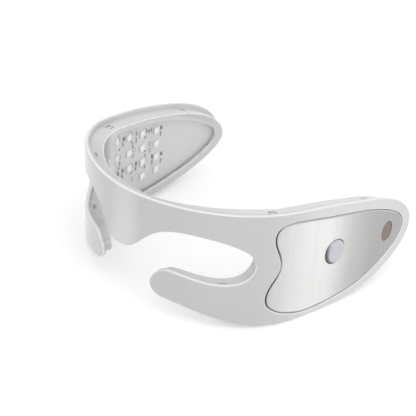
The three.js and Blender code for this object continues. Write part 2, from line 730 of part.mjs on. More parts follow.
// The cap turns about its own axis: proud rounded face, side, retaining flange and stem
function powerButton() {
  const stemEnd = FLANGE_START + FLANGE_THICKNESS + STEM_LENGTH;
  const rim = new THREE.EllipseCurve(
    BUTTON_RADIUS - BUTTON_ROUNDING, -BUTTON_PROUD + BUTTON_ROUNDING,
    BUTTON_ROUNDING, BUTTON_ROUNDING, -Math.PI / 2, 0, false,
  );
  const profile = [
    new THREE.Vector2(0, -BUTTON_PROUD),
    ...rim.getPoints(CORNER_STEPS),
    new THREE.Vector2(BUTTON_RADIUS, FLANGE_START),
    new THREE.Vector2(BUTTON_RADIUS + FLANGE_WIDTH, FLANGE_START),
    new THREE.Vector2(BUTTON_RADIUS + FLANGE_WIDTH, FLANGE_START + FLANGE_THICKNESS),
    new THREE.Vector2(STEM_RADIUS, FLANGE_START + FLANGE_THICKNESS),
    new THREE.Vector2(STEM_RADIUS, stemEnd),
    new THREE.Vector2(0, stemEnd),
  ];
  const cap = solidFrom(new THREE.LatheGeometry(profile, ROUND_SIDES));
  return seat(node('power_button', geometryFrom(cap), 'button'), BUTTON_ALONG, 0, BUTTON_LEVEL);
}

const PLUNGER_START = FLANGE_START + FLANGE_THICKNESS + STEM_LENGTH + SEAT_GAP;
const SWITCH_END = BOARD_START - SEAT_GAP;
const SWITCH_START = SWITCH_END - SWITCH_HEIGHT;

function switchPlunger() {
  const body = post(PLUNGER_RADIUS, 0, 0, PLUNGER_START, PLUNGER_START + PLUNGER_LENGTH, ROUND_SIDES);
  return seat(node('switch_plunger', geometryFrom(body), 'black'), BUTTON_ALONG, 0, BUTTON_LEVEL);
}

function switchBody() {
  const block = new THREE.BoxGeometry(SWITCH_SIZE, SWITCH_HEIGHT, SWITCH_SIZE);
  block.translate(0, (SWITCH_START + SWITCH_END) / 2, 0);
  const radius = PLUNGER_RADIUS + PLUNGER_GAP;
  const bore = post(radius, 0, 0, SWITCH_START - OVERRUN, SWITCH_END - SWITCH_FLOOR, ROUND_SIDES);
  const body = solidFrom(block).subtract(bore);
  return seat(node('switch_body', geometryFrom(body), 'steel'), BUTTON_ALONG, 0, BUTTON_LEVEL);
}

function lightPackage(name, along, depth, level) {
  const block = new THREE.BoxGeometry(LED_SIZE, LED_HEIGHT, LED_SIZE);
  block.translate(0, LED_HEIGHT / 2, 0);
  const lens = post(LED_LENS_RADIUS, 0, 0, LED_HEIGHT - LED_LENS_DEPTH, LED_HEIGHT + OVERRUN);
  const body = solidFrom(block).subtract(lens);
  return seat(node(name, geometryFrom(body), 'led'), along, depth, level);
}

// The highest level that an outline reaches at a length along
function topOf(outline, along) {
  const levels = outline.map((point, i) => {
    const next = outline[(i + 1) % outline.length];
    const share = (along - point.x) / (next.x - point.x);
    return share >= 0 && share <= 1 ? point.y + share * (next.y - point.y) : -Infinity;
  });
  return Math.max(...levels);
}

// The rows of lights close up from the first column to the last
function armLights(name, side) {
  const lights = [];
  LED_COLUMN_COUNTS.forEach((count, column) => {
    const along = LED_FIRST_SHARE * HALF_LENGTH + column * LED_PITCH_ALONG;
    const top = topOf(PANEL, along) - LED_TOP_MARGIN;
    const share = column / (LED_COLUMN_COUNTS.length - 1);
    const pitch = THREE.MathUtils.lerp(LED_FIRST_PITCH_DOWN, LED_LAST_PITCH_DOWN, share);
    for (let row = 0; row < count; row += 1) {
      const label = `arm_led_${name}_${lights.length + 1}`;
      lights.push(lightPackage(label, side * along, LED_START, top - row * pitch));
    }
  });
  return lights;
}

function armBoard(name, side) {
  const outline = mirrored(inset(PANEL, -BOARD_MARGIN), side);
  const board = slab(outline, BOARD_START, BOARD_START + BOARD_THICKNESS);
  return node(`led_board_${name}`, wrap(board), 'board');
}

function eyeCurve(side) {
  const places = placesOn(EYE_BOARD_SHARES, side);
  return new THREE.SplineCurve(places.map(([along, level]) => new THREE.Vector2(along, level)));
}

// A strip of even width along a curve, with square ends
function strip(curve, width, count) {
  const upper = [];
  const lower = [];
  for (let i = 0; i <= count; i += 1) {
    const point = curve.getPointAt(i / count);
    const run = curve.getTangentAt(i / count);
    upper.push(new THREE.Vector2(point.x - (run.y * width) / 2, point.y + (run.x * width) / 2));
    lower.push(new THREE.Vector2(point.x + (run.y * width) / 2, point.y - (run.x * width) / 2));
  }
  return anticlockwise([...upper, ...lower.reverse()]);
}

function eyeBoard(name, side) {
  const outline = strip(eyeCurve(side), EYE_BOARD_WIDTH, 2 * EYE_BOARD_SHARES.length);
  const board = slab(outline, EYE_BOARD_START, EYE_BOARD_START + EYE_BOARD_THICKNESS);
  return node(`eye_board_${name}`, wrap(board), 'board');
}

function eyeLights(name, side) {
  const curve = eyeCurve(side);
  return EYE_LED_PLACE_SHARES.map((share, i) => {
    const point = curve.getPointAt(share);
    const depth = thinned(point.x, EYE_BOARD_START + EYE_BOARD_THICKNESS) + EYE_LED_GAP;
    const light = node(`eye_led_${name}_${i + 1}`, lightPackage('', 0, 0, 0).geometry, 'led');
    const frame = frameAt(point.x, 0, point.y);
    const inward = new THREE.Vector3().setFromMatrixColumn(frame, 1);
    const place = new THREE.Vector3().setFromMatrixPosition(frame).addScaledVector(inward, depth);
    light.applyMatrix4(frame.setPosition(place));
    return light;
  });
}

// A turned can with a bore for the shaft, lying along the face
function motorCase(name, side) {
  const end = MOTOR_LENGTH / 2;
  const can = post(MOTOR_RADIUS, 0, 0, -end, end, ROUND_SIDES / 2);
  const body = can.subtract(post(MOTOR_HOLE_RADIUS, 0, 0, end - MOTOR_HOLE_DEPTH, end + OVERRUN));
  const mesh = node(`motor_${name}`, geometryFrom(body).rotateZ(-side * Math.PI / 2), 'steel');
  return seatMotor(mesh, side);
}

function seatMotor(mesh, side) {
  return seat(mesh, side * MOTOR_ALONG_SHARE * HALF_LENGTH, MOTOR_DEPTH, MOTOR_LEVEL_SHARE * SHELL_HEIGHT);
}

// Half a disc on the shaft
function motorWeight(name, side) {
  const shape = new THREE.Shape();
  shape.absarc(0, 0, WEIGHT_RADIUS, 0, Math.PI);
  const start = MOTOR_LENGTH / 2 + WEIGHT_GAP;
  const options = { depth: WEIGHT_LENGTH, bevelEnabled: false, curveSegments: SMALL_SIDES };
  const disc = new THREE.ExtrudeGeometry(shape, options);
  disc.rotateX(-Math.PI / 2);
  disc.translate(0, start, 0);
  const shaft = post(SHAFT_RADIUS, 0, 0, MOTOR_LENGTH / 2 - SHAFT_ENTRY, start + WEIGHT_LENGTH);
  const geometry = geometryFrom(solidFrom(disc).add(shaft)).rotateZ(-side * Math.PI / 2);
  return seatMotor(node(`motor_weight_${name}`, geometry, 'steel'), side);
}

function batteryPouch() {
  const along = -BATTERY_ALONG_SHARE * HALF_LENGTH;
  const level = BATTERY_LEVEL_SHARE * SHELL_HEIGHT;
  const outline = roundedRectangle(along, level, BATTERY_LENGTH, BATTERY_WIDTH, BATTERY_CORNER);
  const start = SHELL_THICKNESS + SEAT_GAP;
  return node('battery', wrap(slab(outline, start, start + BATTERY_THICKNESS, BATTERY_ROUNDING)), 'pouch');
}

const CONTROL_START = SHELL_THICKNESS + SEAT_GAP;
const CONTROL_END = CONTROL_START + BOARD_THICKNESS;

function controlBoard() {
  const along = CONTROL_ALONG_SHARE * HALF_LENGTH;
  const level = CONTROL_LEVEL_SHARE * SHELL_HEIGHT;
  const outline = roundedRectangle(along, level, CONTROL_LENGTH, CONTROL_WIDTH, CONTROL_CORNER);
  let board = slab(outline, CONTROL_START, CONTROL_END);
  const chip = new THREE.BoxGeometry(CHIP_LENGTH, CHIP_HEIGHT + BOARD_THICKNESS / 2, CHIP_LENGTH);
  chip.translate(along, CONTROL_END + CHIP_HEIGHT / 2 - BOARD_THICKNESS / 4, level);
  board = board.add(solidFrom(chip));
  return node('control_board', wrap(board), 'circuit');
}

const PORT_EDGE = edgeAt(SHELL, PORT_ALONG_SHARE * HALF_LENGTH, 0);
const PORT_DEPTH = CONTROL_END + SEAT_GAP + PORT_THICKNESS / 2;

// A bar set square to the shell's lower edge, at the charging socket
function portBlock(halfWidth, halfThickness, fromEdge, toEdge) {
  const start = PORT_DEPTH - halfThickness;
  return edgeBlock(PORT_EDGE, 2 * halfWidth, fromEdge, toEdge, start, start + 2 * halfThickness);
}

function chargingPort() {
  const start = TRAY_INSET;
  let socket = portBlock(PORT_WIDTH / 2, PORT_THICKNESS / 2, start, start + PORT_LENGTH);
  const [halfWidth, halfThickness] = [PORT_WIDTH / 2 - PORT_WALL, PORT_THICKNESS / 2 - PORT_WALL];
  socket = socket.subtract(portBlock(halfWidth, halfThickness, start - OVERRUN, start + PORT_MOUTH_DEPTH));
  return node('charging_port', wrap(socket), 'steel');
}

function portTongue() {
  const end = TRAY_INSET + PORT_MOUTH_DEPTH - SEAT_GAP;
  const tongue = portBlock(TONGUE_WIDTH / 2, TONGUE_THICKNESS / 2, end - TONGUE_LENGTH, end);
  return node('port_tongue', wrap(tongue), 'black');
}

function indicatorWindow() {
  const end = RECESS_DEPTH - SEAT_GAP;
  return node('indicator_window', wrap(slab(statusOutline(0), PLATE_START, end)), 'status');
}

function indicatorLight() {
  const geometry = new THREE.BoxGeometry(STATUS_LIGHT_SIZE, STATUS_LIGHT_HEIGHT, STATUS_LIGHT_SIZE);
  const depth = CONTROL_START - SEAT_GAP - STATUS_LIGHT_HEIGHT / 2;
  const [along, level] = [STATUS_ALONG_SHARE * HALF_LENGTH, STATUS_LEVEL_SHARE * SHELL_HEIGHT];
  return seat(node('indicator_led', geometryFrom(solidFrom(geometry)), 'led'), along, depth, level);
}

// The flat cable follows the shell's top edge from arm to arm
function bridgeRibbon() {
  const reach = RIBBON_END_SHARE * HALF_LENGTH;
  const top = SHELL.filter((point) => Math.abs(point.x) < reach && point.y >= topOf(SHELL, point.x) - SNAP);
  top.sort((a, b) => a.x - b.x);
  const upper = top.map((point) => new THREE.Vector2(point.x, point.y - RIBBON_INSET));
  const lower = top.map((point) => new THREE.Vector2(point.x, point.y - RIBBON_INSET - RIBBON_WIDTH));
  const outline = anticlockwise([...upper, ...lower.reverse()]);
  const cable = slab(outline, RIBBON_START, RIBBON_START + RIBBON_THICKNESS);
  return node('bridge_ribbon', wrap(cable), 'ribbon');
}

function buildVisor() {
  const visor = new THREE.Group();
  visor.add(outerShell(), innerCover());
  for (const [name, side] of SIDES) {
    visor.add(mirrorPlate(name, side), mirrorTape(name, side));
    visor.add(armBoard(name, side), ...armLights(name, side));
    visor.add(eyeBoard(name, side), ...eyeLights(name, side));
    visor.add(motorCase(name, side), motorWeight(name, side));
  }
  visor.add(powerButton(), switchPlunger(), switchBody());
  visor.add(indicatorWindow(), indicatorLight(), controlBoard(), chargingPort(), portTongue());
  visor.add(batteryPouch(), bridgeRibbon());
  return visor;
}

// The origin is the middle of the footprint, on the surface that the visor stands on
function stood(visor) {
  visor.rotation.x = REST_PITCH;
  visor.updateMatrixWorld(true);
  const box = new THREE.Box3().setFromObject(visor, true);
  const middle = box.getCenter(new THREE.Vector3());
  visor.position.set(-middle.x, -middle.y, -box.min.z);
  const stand = new THREE.Group();
  stand.add(visor);
  return stand;
}

export default stood(buildVisor());
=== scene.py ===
"""Looks of an LED eye massager: a white wrap-around visor with a clear light tray on its inside.

Every wall is drawn flat first, in millimetres: x runs along the unrolled outer face from the middle of
the brow towards the left tail, y is the depth from the outer face inwards, and z is the height. Form.bend()
lays it round the head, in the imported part's frame and in metres.
"""

import logging
import math
from collections.abc import Callable, Sequence
from dataclasses import dataclass, field
from enum import Enum

import bmesh
import bpy
import numpy as np
from mathutils import Matrix, Vector
from mathutils.geometry import delaunay_2d_cdt


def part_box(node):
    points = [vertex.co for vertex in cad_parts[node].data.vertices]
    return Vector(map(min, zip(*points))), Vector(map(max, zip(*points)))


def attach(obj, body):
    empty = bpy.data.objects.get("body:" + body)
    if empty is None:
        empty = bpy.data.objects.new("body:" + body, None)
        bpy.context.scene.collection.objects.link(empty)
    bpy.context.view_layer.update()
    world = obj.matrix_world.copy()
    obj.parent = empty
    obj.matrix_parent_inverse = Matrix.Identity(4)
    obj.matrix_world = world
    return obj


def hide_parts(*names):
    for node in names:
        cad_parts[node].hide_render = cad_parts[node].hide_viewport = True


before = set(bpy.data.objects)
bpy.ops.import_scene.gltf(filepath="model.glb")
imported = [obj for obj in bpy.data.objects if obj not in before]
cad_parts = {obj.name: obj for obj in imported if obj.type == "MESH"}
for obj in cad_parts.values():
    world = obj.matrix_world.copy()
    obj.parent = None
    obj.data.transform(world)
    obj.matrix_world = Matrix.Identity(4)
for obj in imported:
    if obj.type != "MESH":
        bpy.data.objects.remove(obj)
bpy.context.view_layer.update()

LOG = logging.getLogger("eye_massager")
MM = 0.001

# How finely outlines and faces are drawn
CURVE_STEPS = 24
LEAST_POINTS = 12
SLAB_STEPS = 3
RIM_GAP_SHARE = 0.45
CLEAN_SHARE = 0.98
SAME_POINT = 1e-5
SAME_VERTEX = 1e-7

# What the finishes share
CLOUD_SPAN = (0.3, 0.7)
WHITE = (1.0, 1.0, 1.0)

Colour = tuple[float, float, float]
Place = tuple[float, float, float]
Shares = tuple[tuple[float, float], ...]
Profile = list[tuple[float, float]]
Piece = bpy.types.Object
Socket = bpy.types.NodeSocket


class Side(Enum):
    """The two arms of the visor, by the wearer's own sides."""

    LEFT = ("left", 1)
    RIGHT = ("right", -1)

    @property
    def label(self) -> str:
        """The word for this side in the names of pieces."""
        return self.value[0]

    @property
    def sign(self) -> int:
        """The sign of x on this side."""
        return self.value[1]


class Region(Enum):
    """Surfaces of one piece that have finishes of their own."""

    BODY = 0
    FACE = 1
    TRIM = 2
    RIM = 3


# Outlines as shares of the half length and of the height
SHELL_SHARES: Shares = (
    (0.124, 0.999), (0.228, 0.988), (0.327, 0.966), (0.421, 0.931), (0.535, 0.869), (0.634, 0.808),
    (0.733, 0.731), (0.822, 0.652), (0.886, 0.579), (0.936, 0.501), (0.975, 0.411), (0.995, 0.332),
    (1.000, 0.259), (0.990, 0.192), (0.960, 0.128), (0.906, 0.068), (0.822, 0.019), (0.723, 0.000),
    (0.614, 0.017), (0.495, 0.056), (0.406, 0.092), (0.327, 0.140), (0.248, 0.202), (0.183, 0.251),
    (0.144, 0.270), (0.116, 0.287), (0.099, 0.324), (0.093, 0.369), (0.098, 0.411), (0.110, 0.454),
    (0.128, 0.489), (0.151, 0.501), (0.183, 0.491), (0.228, 0.467), (0.272, 0.448), (0.312, 0.444),
    (0.347, 0.457), (0.371, 0.493), (0.384, 0.545), (0.386, 0.594), (0.373, 0.652), (0.342, 0.712),
    (0.297, 0.763), (0.248, 0.793), (0.198, 0.806), (0.155, 0.798), (0.122, 0.770), (0.095, 0.727),
    (0.072, 0.677), (0.052, 0.632), (0.033, 0.605), (0.012, 0.597),
)
PLATE_SHARES: Shares = (
    (0.448, 0.793), (0.465, 0.816), (0.490, 0.818), (0.554, 0.786), (0.644, 0.732), (0.743, 0.657),
    (0.802, 0.602), (0.856, 0.540), (0.901, 0.477), (0.941, 0.399), (0.962, 0.320), (0.960, 0.253),
    (0.939, 0.195), (0.891, 0.139), (0.827, 0.091), (0.762, 0.058), (0.698, 0.049), (0.634, 0.054),
    (0.564, 0.073), (0.515, 0.097), (0.475, 0.133), (0.448, 0.165), (0.426, 0.207), (0.413, 0.248),
    (0.410, 0.294), (0.414, 0.344), (0.426, 0.400), (0.443, 0.455), (0.454, 0.506), (0.456, 0.555),
    (0.452, 0.613), (0.446, 0.659), (0.441, 0.706), (0.441, 0.752),
)
PANEL_SHARES: Shares = (
    (0.441, 0.758), (0.455, 0.813), (0.485, 0.821), (0.554, 0.776), (0.644, 0.715), (0.723, 0.652),
    (0.792, 0.584), (0.851, 0.513), (0.906, 0.428), (0.941, 0.353), (0.950, 0.290), (0.936, 0.224),
    (0.896, 0.173), (0.832, 0.131), (0.752, 0.109), (0.663, 0.108), (0.574, 0.131), (0.510, 0.173),
    (0.470, 0.235), (0.452, 0.326), (0.446, 0.436), (0.443, 0.582),
)
HOOK_SHARES: Shares = (
    (0.22, 0.99), (0.455, 0.915), (0.817, 0.656), (0.955, 0.12), (0.832, 0.02), (0.55, 0.035),
    (0.29, 0.165), (0.297, 0.446), (0.26, 0.79),
)
TONGUE_HOOK_SHARES: Shares = ((0.455, 0.915), (0.817, 0.656))
ARM_POST_SHARES: Shares = ((0.478, 0.735), (0.49, 0.29), (0.73, 0.6), (0.772, 0.155))
EYE_POST_SHARES: Shares = ((0.18, 0.378), (0.265, 0.327))

# Small components on a light board, by their shares along and up
DIODE_SHARES: Shares = (
    (0.496, 0.73), (0.461, 0.722), (0.522, 0.704), (0.560, 0.7), (0.632, 0.644), (0.706, 0.591),
    (0.709, 0.344), (0.664, 0.37), (0.627, 0.385), (0.561, 0.415), (0.584, 0.404), (0.516, 0.426),
    (0.492, 0.43),
)
RESISTOR_SHARES: Shares = (
    (0.502, 0.636), (0.562, 0.662), (0.584, 0.629), (0.584, 0.602), (0.560, 0.632), (0.566, 0.606),
    (0.566, 0.58), (0.704, 0.546), (0.704, 0.528), (0.628, 0.464), (0.629, 0.426), (0.709, 0.288),
    (0.706, 0.269), (0.664, 0.325), (0.664, 0.302), (0.627, 0.336), (0.627, 0.31), (0.496, 0.475),
    (0.463, 0.665),
)
ARRAY_SHARES: Shares = (
    (0.496, 0.762), (0.519, 0.659), (0.586, 0.674), (0.629, 0.595), (0.647, 0.625), (0.659, 0.621),
    (0.502, 0.509), (0.582, 0.359), (0.514, 0.377),
)
COIL_SHARES: Shares = (
    (0.572, 0.546), (0.569, 0.494), (0.652, 0.501), (0.652, 0.441), (0.502, 0.561), (0.562, 0.355),
    (0.566, 0.28),
)


def smooth_step(value: np.ndarray) -> np.ndarray:
    """An eased step from 0 to 1 over the same range."""
    share = np.clip(value, 0, 1)
    return share * share * (3 - 2 * share)


def node_middle(node: str) -> Vector:
    """The middle of a CAD node, in metres."""
    low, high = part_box(node)
    return (low + high) / 2


def placed(name: str, data: bpy.types.ID) -> Piece:
    """A new object that is linked to the scene.

    Args:
        name: its name.
        data: its mesh, light or camera.

    Returns:
        The object.
    """
    made = bpy.data.objects.new(name, data)
    bpy.context.scene.collection.objects.link(made)
    return made


@dataclass
class Form:
    """How the flat walls lie round the head, and where the visor stands."""

    half_length: float = 202.0
    height: float = 82.2
    arcs: tuple[tuple[float, float], ...] = ((83.4, 53.9), (63.2, 46.7), (378.0, math.inf))
    lean: float = 0.068
    lean_level_share: float = 0.582
    flare: float = 5.0
    flare_reach: float = 42.0
    flare_level_shares: tuple[float, ...] = (0.52, 0.65, 0.75)
    flare_amounts: tuple[float, ...] = (1.0, 0.36, 0.0)
    thinning: float = 5.2
    thin_span_shares: tuple[float, float] = (0.025, 0.42)
    squeeze_depths: tuple[float, float] = (3.8, 11.1)
    pitch: float = math.radians(7.5)
    button_shares: tuple[float, float] = (0.644, 0.44)
    window_shares: tuple[float, float] = (0.873, 0.326)
    arm_step: float = 16.0
    steps_to_button: float = 1.5
    front_steps: int = 16
    plunger_depth: float = 5.35
    search_steps: int = 8001
    offset: np.ndarray = field(init=False)

    def __post_init__(self) -> None:
        """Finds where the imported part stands, from the middle of its switch plunger."""
        self.offset = np.zeros(3)
        along, level = self.button
        place = self.facet_point(along, self.plunger_depth, level)
        self.offset = (np.array(node_middle("switch_plunger")) - place) / MM

    def spot(self, shares: tuple[float, float], side: Side = Side.LEFT) -> tuple[float, float]:
        """The length along and the level of a place that is given by its shares."""
        return side.sign * shares[0] * self.half_length, shares[1] * self.height

    @property
    def button(self) -> tuple[float, float]:
        """The length along and the level of the power button."""
        return self.spot(self.button_shares)

    def plan(self, along: np.ndarray) -> tuple[np.ndarray, np.ndarray]:
        """The plan of the outer face.

        Args:
            along: lengths along the outer face.

        Returns:
            Points and inward directions in plan, each an array of x and y.
        """
        side = np.where(along < 0, -1.0, 1.0)
        left = np.abs(along)
        heading = np.zeros_like(left)
        x, y = np.zeros_like(left), np.zeros_like(left)
        for radius, arc in self.arcs:
            turn = np.minimum(left, arc) / radius
            x += radius * (np.sin(heading + turn) - np.sin(heading))
            y += radius * (np.cos(heading) - np.cos(heading + turn))
            heading = heading + turn
            left = left - np.minimum(left, arc)
        inward = np.stack([-side * np.sin(heading), np.cos(heading)], axis=1)
        return np.stack([side * x, y], axis=1), inward

    def thinned(self, along: np.ndarray, depth: np.ndarray) -> np.ndarray:
        """Depths as they shrink towards the nose.

        Args:
            along: lengths along the outer face.
            depth: the depths as drawn.

        Returns:
            The depths as made.
        """
        start, end = (share * self.half_length for share in self.thin_span_shares)
        drop = self.thinning * (1 - smooth_step((np.abs(along) - start) / (end - start)))
        low, high = self.squeeze_depths
        return depth - drop * np.clip((depth - low) / (high - low), 0, 1)

    def nose_flare(self, along: np.ndarray, level: np.ndarray) -> np.ndarray:
        """How far the nose lobe stands forward.

        Args:
            along: lengths along the outer face.
            level: the levels there.

        Returns:
            A distance for each of them.
        """
        width = 1 - smooth_step(np.abs(along) / self.flare_reach)
        amount = np.interp(level / self.height, self.flare_level_shares, self.flare_amounts, left=0, right=0)
        return self.flare * width * amount

    def bend(self, flat: np.ndarray) -> np.ndarray:
        """Lays flat points round the head.

        Args:
            flat: rows of length along, depth and level, in millimetres.

        Returns:
            Rows of x, y and z in the part's frame, in metres.
        """
        along, depth, level = flat.T
        point, inward = self.plan(along)
        inside = self.thinned(along, depth) / math.hypot(1, self.lean)
        lean = self.lean * (level - self.lean_level_share * self.height)
        plan = point + inward * (inside + lean - self.nose_flare(along, level))[:, None]
        return self.stood(np.column_stack([plan, level - self.lean * inside]))

    def stood(self, places: np.ndarray) -> np.ndarray:
        """Upright millimetre places in the frame of the standing part, in metres."""
        turn = np.array(Matrix.Rotation(self.pitch, 3, "X"))
        return (places @ turn.T + self.offset) * MM

    def columns(self) -> np.ndarray:
        """Lengths along at which the part's solids bend.

        Returns:
            The lengths, from the right tail to the left one.
        """
        start = self.button[0] - self.steps_to_button * self.arm_step
        front = start * np.arange(self.front_steps) / self.front_steps
        arm = np.arange(start, self.half_length + self.arm_step, self.arm_step)
        half = np.concatenate([front, arm])
        return np.concatenate([-half[:0:-1], half])

    def facet(self, along: float) -> tuple[float, float]:
        """The two columns on either side of a length along.

        Args:
            along: a length along the outer face.

        Returns:
            The column before it and the column after it.
        """
        columns = self.columns()
        index = int(np.clip(np.searchsorted(columns, along, side="right") - 1, 0, len(columns) - 2))
        return float(columns[index]), float(columns[index + 1])

    def facet_point(self, along: float, depth: float, level: float) -> np.ndarray:
        """The place where the part's solids have a flat point, in metres.

        Args:
            along: a length along the outer face.
            depth: the depth inwards.
            level: the level.

        Returns:
            Its x, y and z.
        """
        low, high = self.facet(along)
        share = (along - low) / (high - low)
        ends = self.bend(np.array([[low, depth, level], [high, depth, level]]))
        return (1 - share) * ends[0] + share * ends[1]

    def facet_turn(self, along: float) -> Matrix:
        """The turn of a rigid piece: x along the face, y inwards and z up the leaning wall.

        Args:
            along: a length along the outer face.

        Returns:
            The turn, as a matrix of three rows.
        """
        points, _ = self.plan(np.array(self.facet(along)))
        run = Vector((*(points[1] - points[0]), 0)).normalized()
        inward = Vector((-run.y, run.x, -self.lean)).normalized()
        upright = Matrix((run, inward, run.cross(inward))).transposed()
        return Matrix.Rotation(self.pitch, 3, "X") @ upright

    def seat(self, along: float, depth: float, level: float) -> Matrix:
        """The place and turn of a rigid piece on the bent face."""
        turn = self.facet_turn(along).to_4x4()
        return Matrix.Translation(Vector(self.facet_point(along, depth, level))) @ turn

    def along_of(self, node: str) -> float:
        """The length along at which a CAD node sits.

        Args:
            node: the name of the node.

        Returns:
            The length, in millimetres.
        """
        middle = np.array(node_middle(node)) / MM - self.offset
        upright = middle @ np.array(Matrix.Rotation(self.pitch, 3, "X"))
        lengths = np.linspace(-self.half_length, self.half_length, self.search_steps)
        points, _ = self.plan(lengths)
        return float(lengths[np.argmin(np.hypot(*(points - upright[:2]).T))])


class Outline:
    """A closed curve in the flat layout that runs anticlockwise, with evenly spaced points."""

    def __init__(self, points: np.ndarray) -> None:
        """Keeps the points, turned round if they run clockwise.

        Args:
            points: rows of length along and level.
        """
        x, z = points.T
        area = np.sum(x * np.roll(z, -1) - np.roll(x, -1) * z)
        self.points = points if area > 0 else points[::-1].copy()

    @classmethod
    def through(cls, shares: Shares, form: Form, sign: int = 1, step: float = 1.6) -> "Outline":
        """A smooth outline through points.

        Args:
            shares: points as shares of the half length and the height.
            form: the sizes that the shares refer to.
            sign: 1 on the left and -1 on the right.
            step: distance between the outline's points.

        Returns:
            The outline.
        """
        knots = np.array(shares) * (sign * form.half_length, form.height)
        before, after, beyond = (np.roll(knots, shift, axis=0) for shift in (1, -1, -2))
        spans = [np.sum((b - a) ** 2, axis=1, keepdims=True) ** 0.25
                 for a, b in ((before, knots), (knots, after), (after, beyond))]
        leave = spans[1] * ((knots - before) / spans[0] - (after - before) / (spans[0] + spans[1])
                            + (after - knots) / spans[1])
        reach = spans[1] * ((after - knots) / spans[1] - (beyond - knots) / (spans[1] + spans[2])
                            + (beyond - after) / spans[2])
        t = np.linspace(0, 1, CURVE_STEPS, endpoint=False)[None, :, None]
        cubic = (knots[:, None] + leave[:, None] * t
                 + (-3 * knots + 3 * after - 2 * leave - reach)[:, None] * t ** 2
                 + (2 * knots - 2 * after + leave + reach)[:, None] * t ** 3)
        return cls(cubic.reshape(-1, 2)).resampled(step)

    @classmethod
    def ellipse(cls, middle: tuple[float, float], radii: tuple[float, float],
                tilt: float = 0.0, count: int = 64) -> "Outline":
        """An ellipse, which may be tilted.

        Args:
            middle: its length along and its level.
            radii: its radii along and up.
            tilt: the angle by which it is tilted, in radians.
            count: the number of its points.

        Returns:
            The outline.
        """
        angle = np.linspace(0, 2 * math.pi, count, endpoint=False)
        x, z = radii[0] * np.cos(angle), radii[1] * np.sin(angle)
        cos, sin = math.cos(tilt), math.sin(tilt)
        return cls(np.column_stack([x * cos - z * sin, x * sin + z * cos]) + middle)

    @classmethod
    def circle(cls, middle: tuple[float, float], radius: float, count: int = 64) -> "Outline":
        """A circle."""
        return cls.ellipse(middle, (radius, radius), count=count)

    @classmethod
    def rectangle(cls, size: tuple[float, float], corner: float, steps: int = 5) -> "Outline":
        """A rectangle about the origin with rounded corners.

        Args:
            size: its width and height.
            corner: the radius of its corners.
            steps: the number of steps round each corner.

        Returns:
            The outline.
        """
        half = np.array(size) / 2 - corner
        points = []
        for quarter, signs in enumerate(((1, 1), (-1, 1), (-1, -1), (1, -1))):
            angle = np.linspace(0, math.pi / 2, steps + 1) + quarter * math.pi / 2
            points.append(half * signs + corner * np.column_stack([np.cos(angle), np.sin(angle)]))
        return cls(np.concatenate(points))

    def resampled(self, step: float) -> "Outline":
        """The same curve with its points about a step apart.

        Args:
            step: the distance between its points.

        Returns:
            The outline.
        """
        closed = np.vstack([self.points, self.points[:1]])
        length = np.concatenate([[0], np.cumsum(np.hypot(*np.diff(closed, axis=0).T))])
        count = max(LEAST_POINTS, round(length[-1] / step))
        at = np.linspace(0, length[-1], count, endpoint=False)
        return Outline(np.column_stack([np.interp(at, length, closed[:, axis]) for axis in (0, 1)]))

    def inward(self) -> np.ndarray:
        """Unit directions into the piece at each point.

        Returns:
            A row for each point.
        """
        run = np.roll(self.points, -1, axis=0) - np.roll(self.points, 1, axis=0)
        run /= np.hypot(*run.T)[:, None]
        return np.column_stack([-run[:, 1], run[:, 0]])

    def moved(self, distance: float) -> np.ndarray:
        """The points moved inwards by a distance, or outwards by a negative one."""
        return self.points + distance * self.inward()

    def distance_to(self, places: np.ndarray) -> np.ndarray:
        """The distance of each place from the curve.

        Args:
            places: rows of length along and level.

        Returns:
            A distance for each place.
        """
        start, end = self.points, np.roll(self.points, -1, axis=0)
        run = end - start
        gap = places[:, None] - start[None]
        share = np.clip(np.sum(gap * run, axis=2) / np.sum(run * run, axis=1), 0, 1)
        return np.min(np.linalg.norm(gap - share[..., None] * run, axis=2), axis=1)

    def holds(self, places: np.ndarray) -> np.ndarray:
        """True for each place inside the curve.

        Args:
            places: rows of length along and level.

        Returns:
            True or False for each place.
        """
        x, z = places[:, 0][:, None], places[:, 1][:, None]
        x0, z0 = self.points.T
        x1, z1 = np.roll(self.points, -1, axis=0).T
        rise = np.where(z1 == z0, 1e-12, z1 - z0)
        crossed = ((z0 > z) != (z1 > z)) & (x < (x1 - x0) * (z - z0) / rise + x0)
        return np.sum(crossed, axis=1) % 2 == 1

    def inset(self, distance: float, step: float = 1.6) -> "Outline":
        """A parallel outline, clean also where the curve is tighter than the distance.

        Args:
            distance: how far it lies inwards, or outwards where negative.
            step: the distance between its points.

        Returns:
            The outline.
        """
        moved = self.moved(distance)
        kept = moved[self.distance_to(moved) > abs(distance) * CLEAN_SHARE]
        return Outline(kept).resampled(step)

    def edge_at(self, along: float, level: float) -> tuple[np.ndarray, np.ndarray, np.ndarray]:
        """The point of the curve nearest a place, with the way along it and the way in.

        Args:
            along: the length along of the place.
            level: its level.

        Returns:
            The point and both ways.
        """
        index = int(np.argmin(np.hypot(*(self.points - (along, level)).T)))
        inward = self.inward()[index]
        return self.points[index], np.array([inward[1], -inward[0]]), inward


def plate_outline(form: Form, side: Side, tail_trim: float = 1.2,
                  span_shares: tuple[float, float] = (0.5, 0.66)) -> Outline:
    """The outline of a plate.

    Args:
        form: the sizes that its shares refer to.
        side: the arm that it lies on.
        tail_trim: how far its edge draws in towards the tail.
        span_shares: the shares of the half length over which it does so.

    Returns:
        The outline.
    """
    outline = Outline.through(PLATE_SHARES, form, side.sign)
    start, end = span_shares
    share = (np.abs(outline.points[:, 0]) / form.half_length - start) / (end - start)
    return Outline(outline.points + (tail_trim * smooth_step(share))[:, None] * outline.inward())


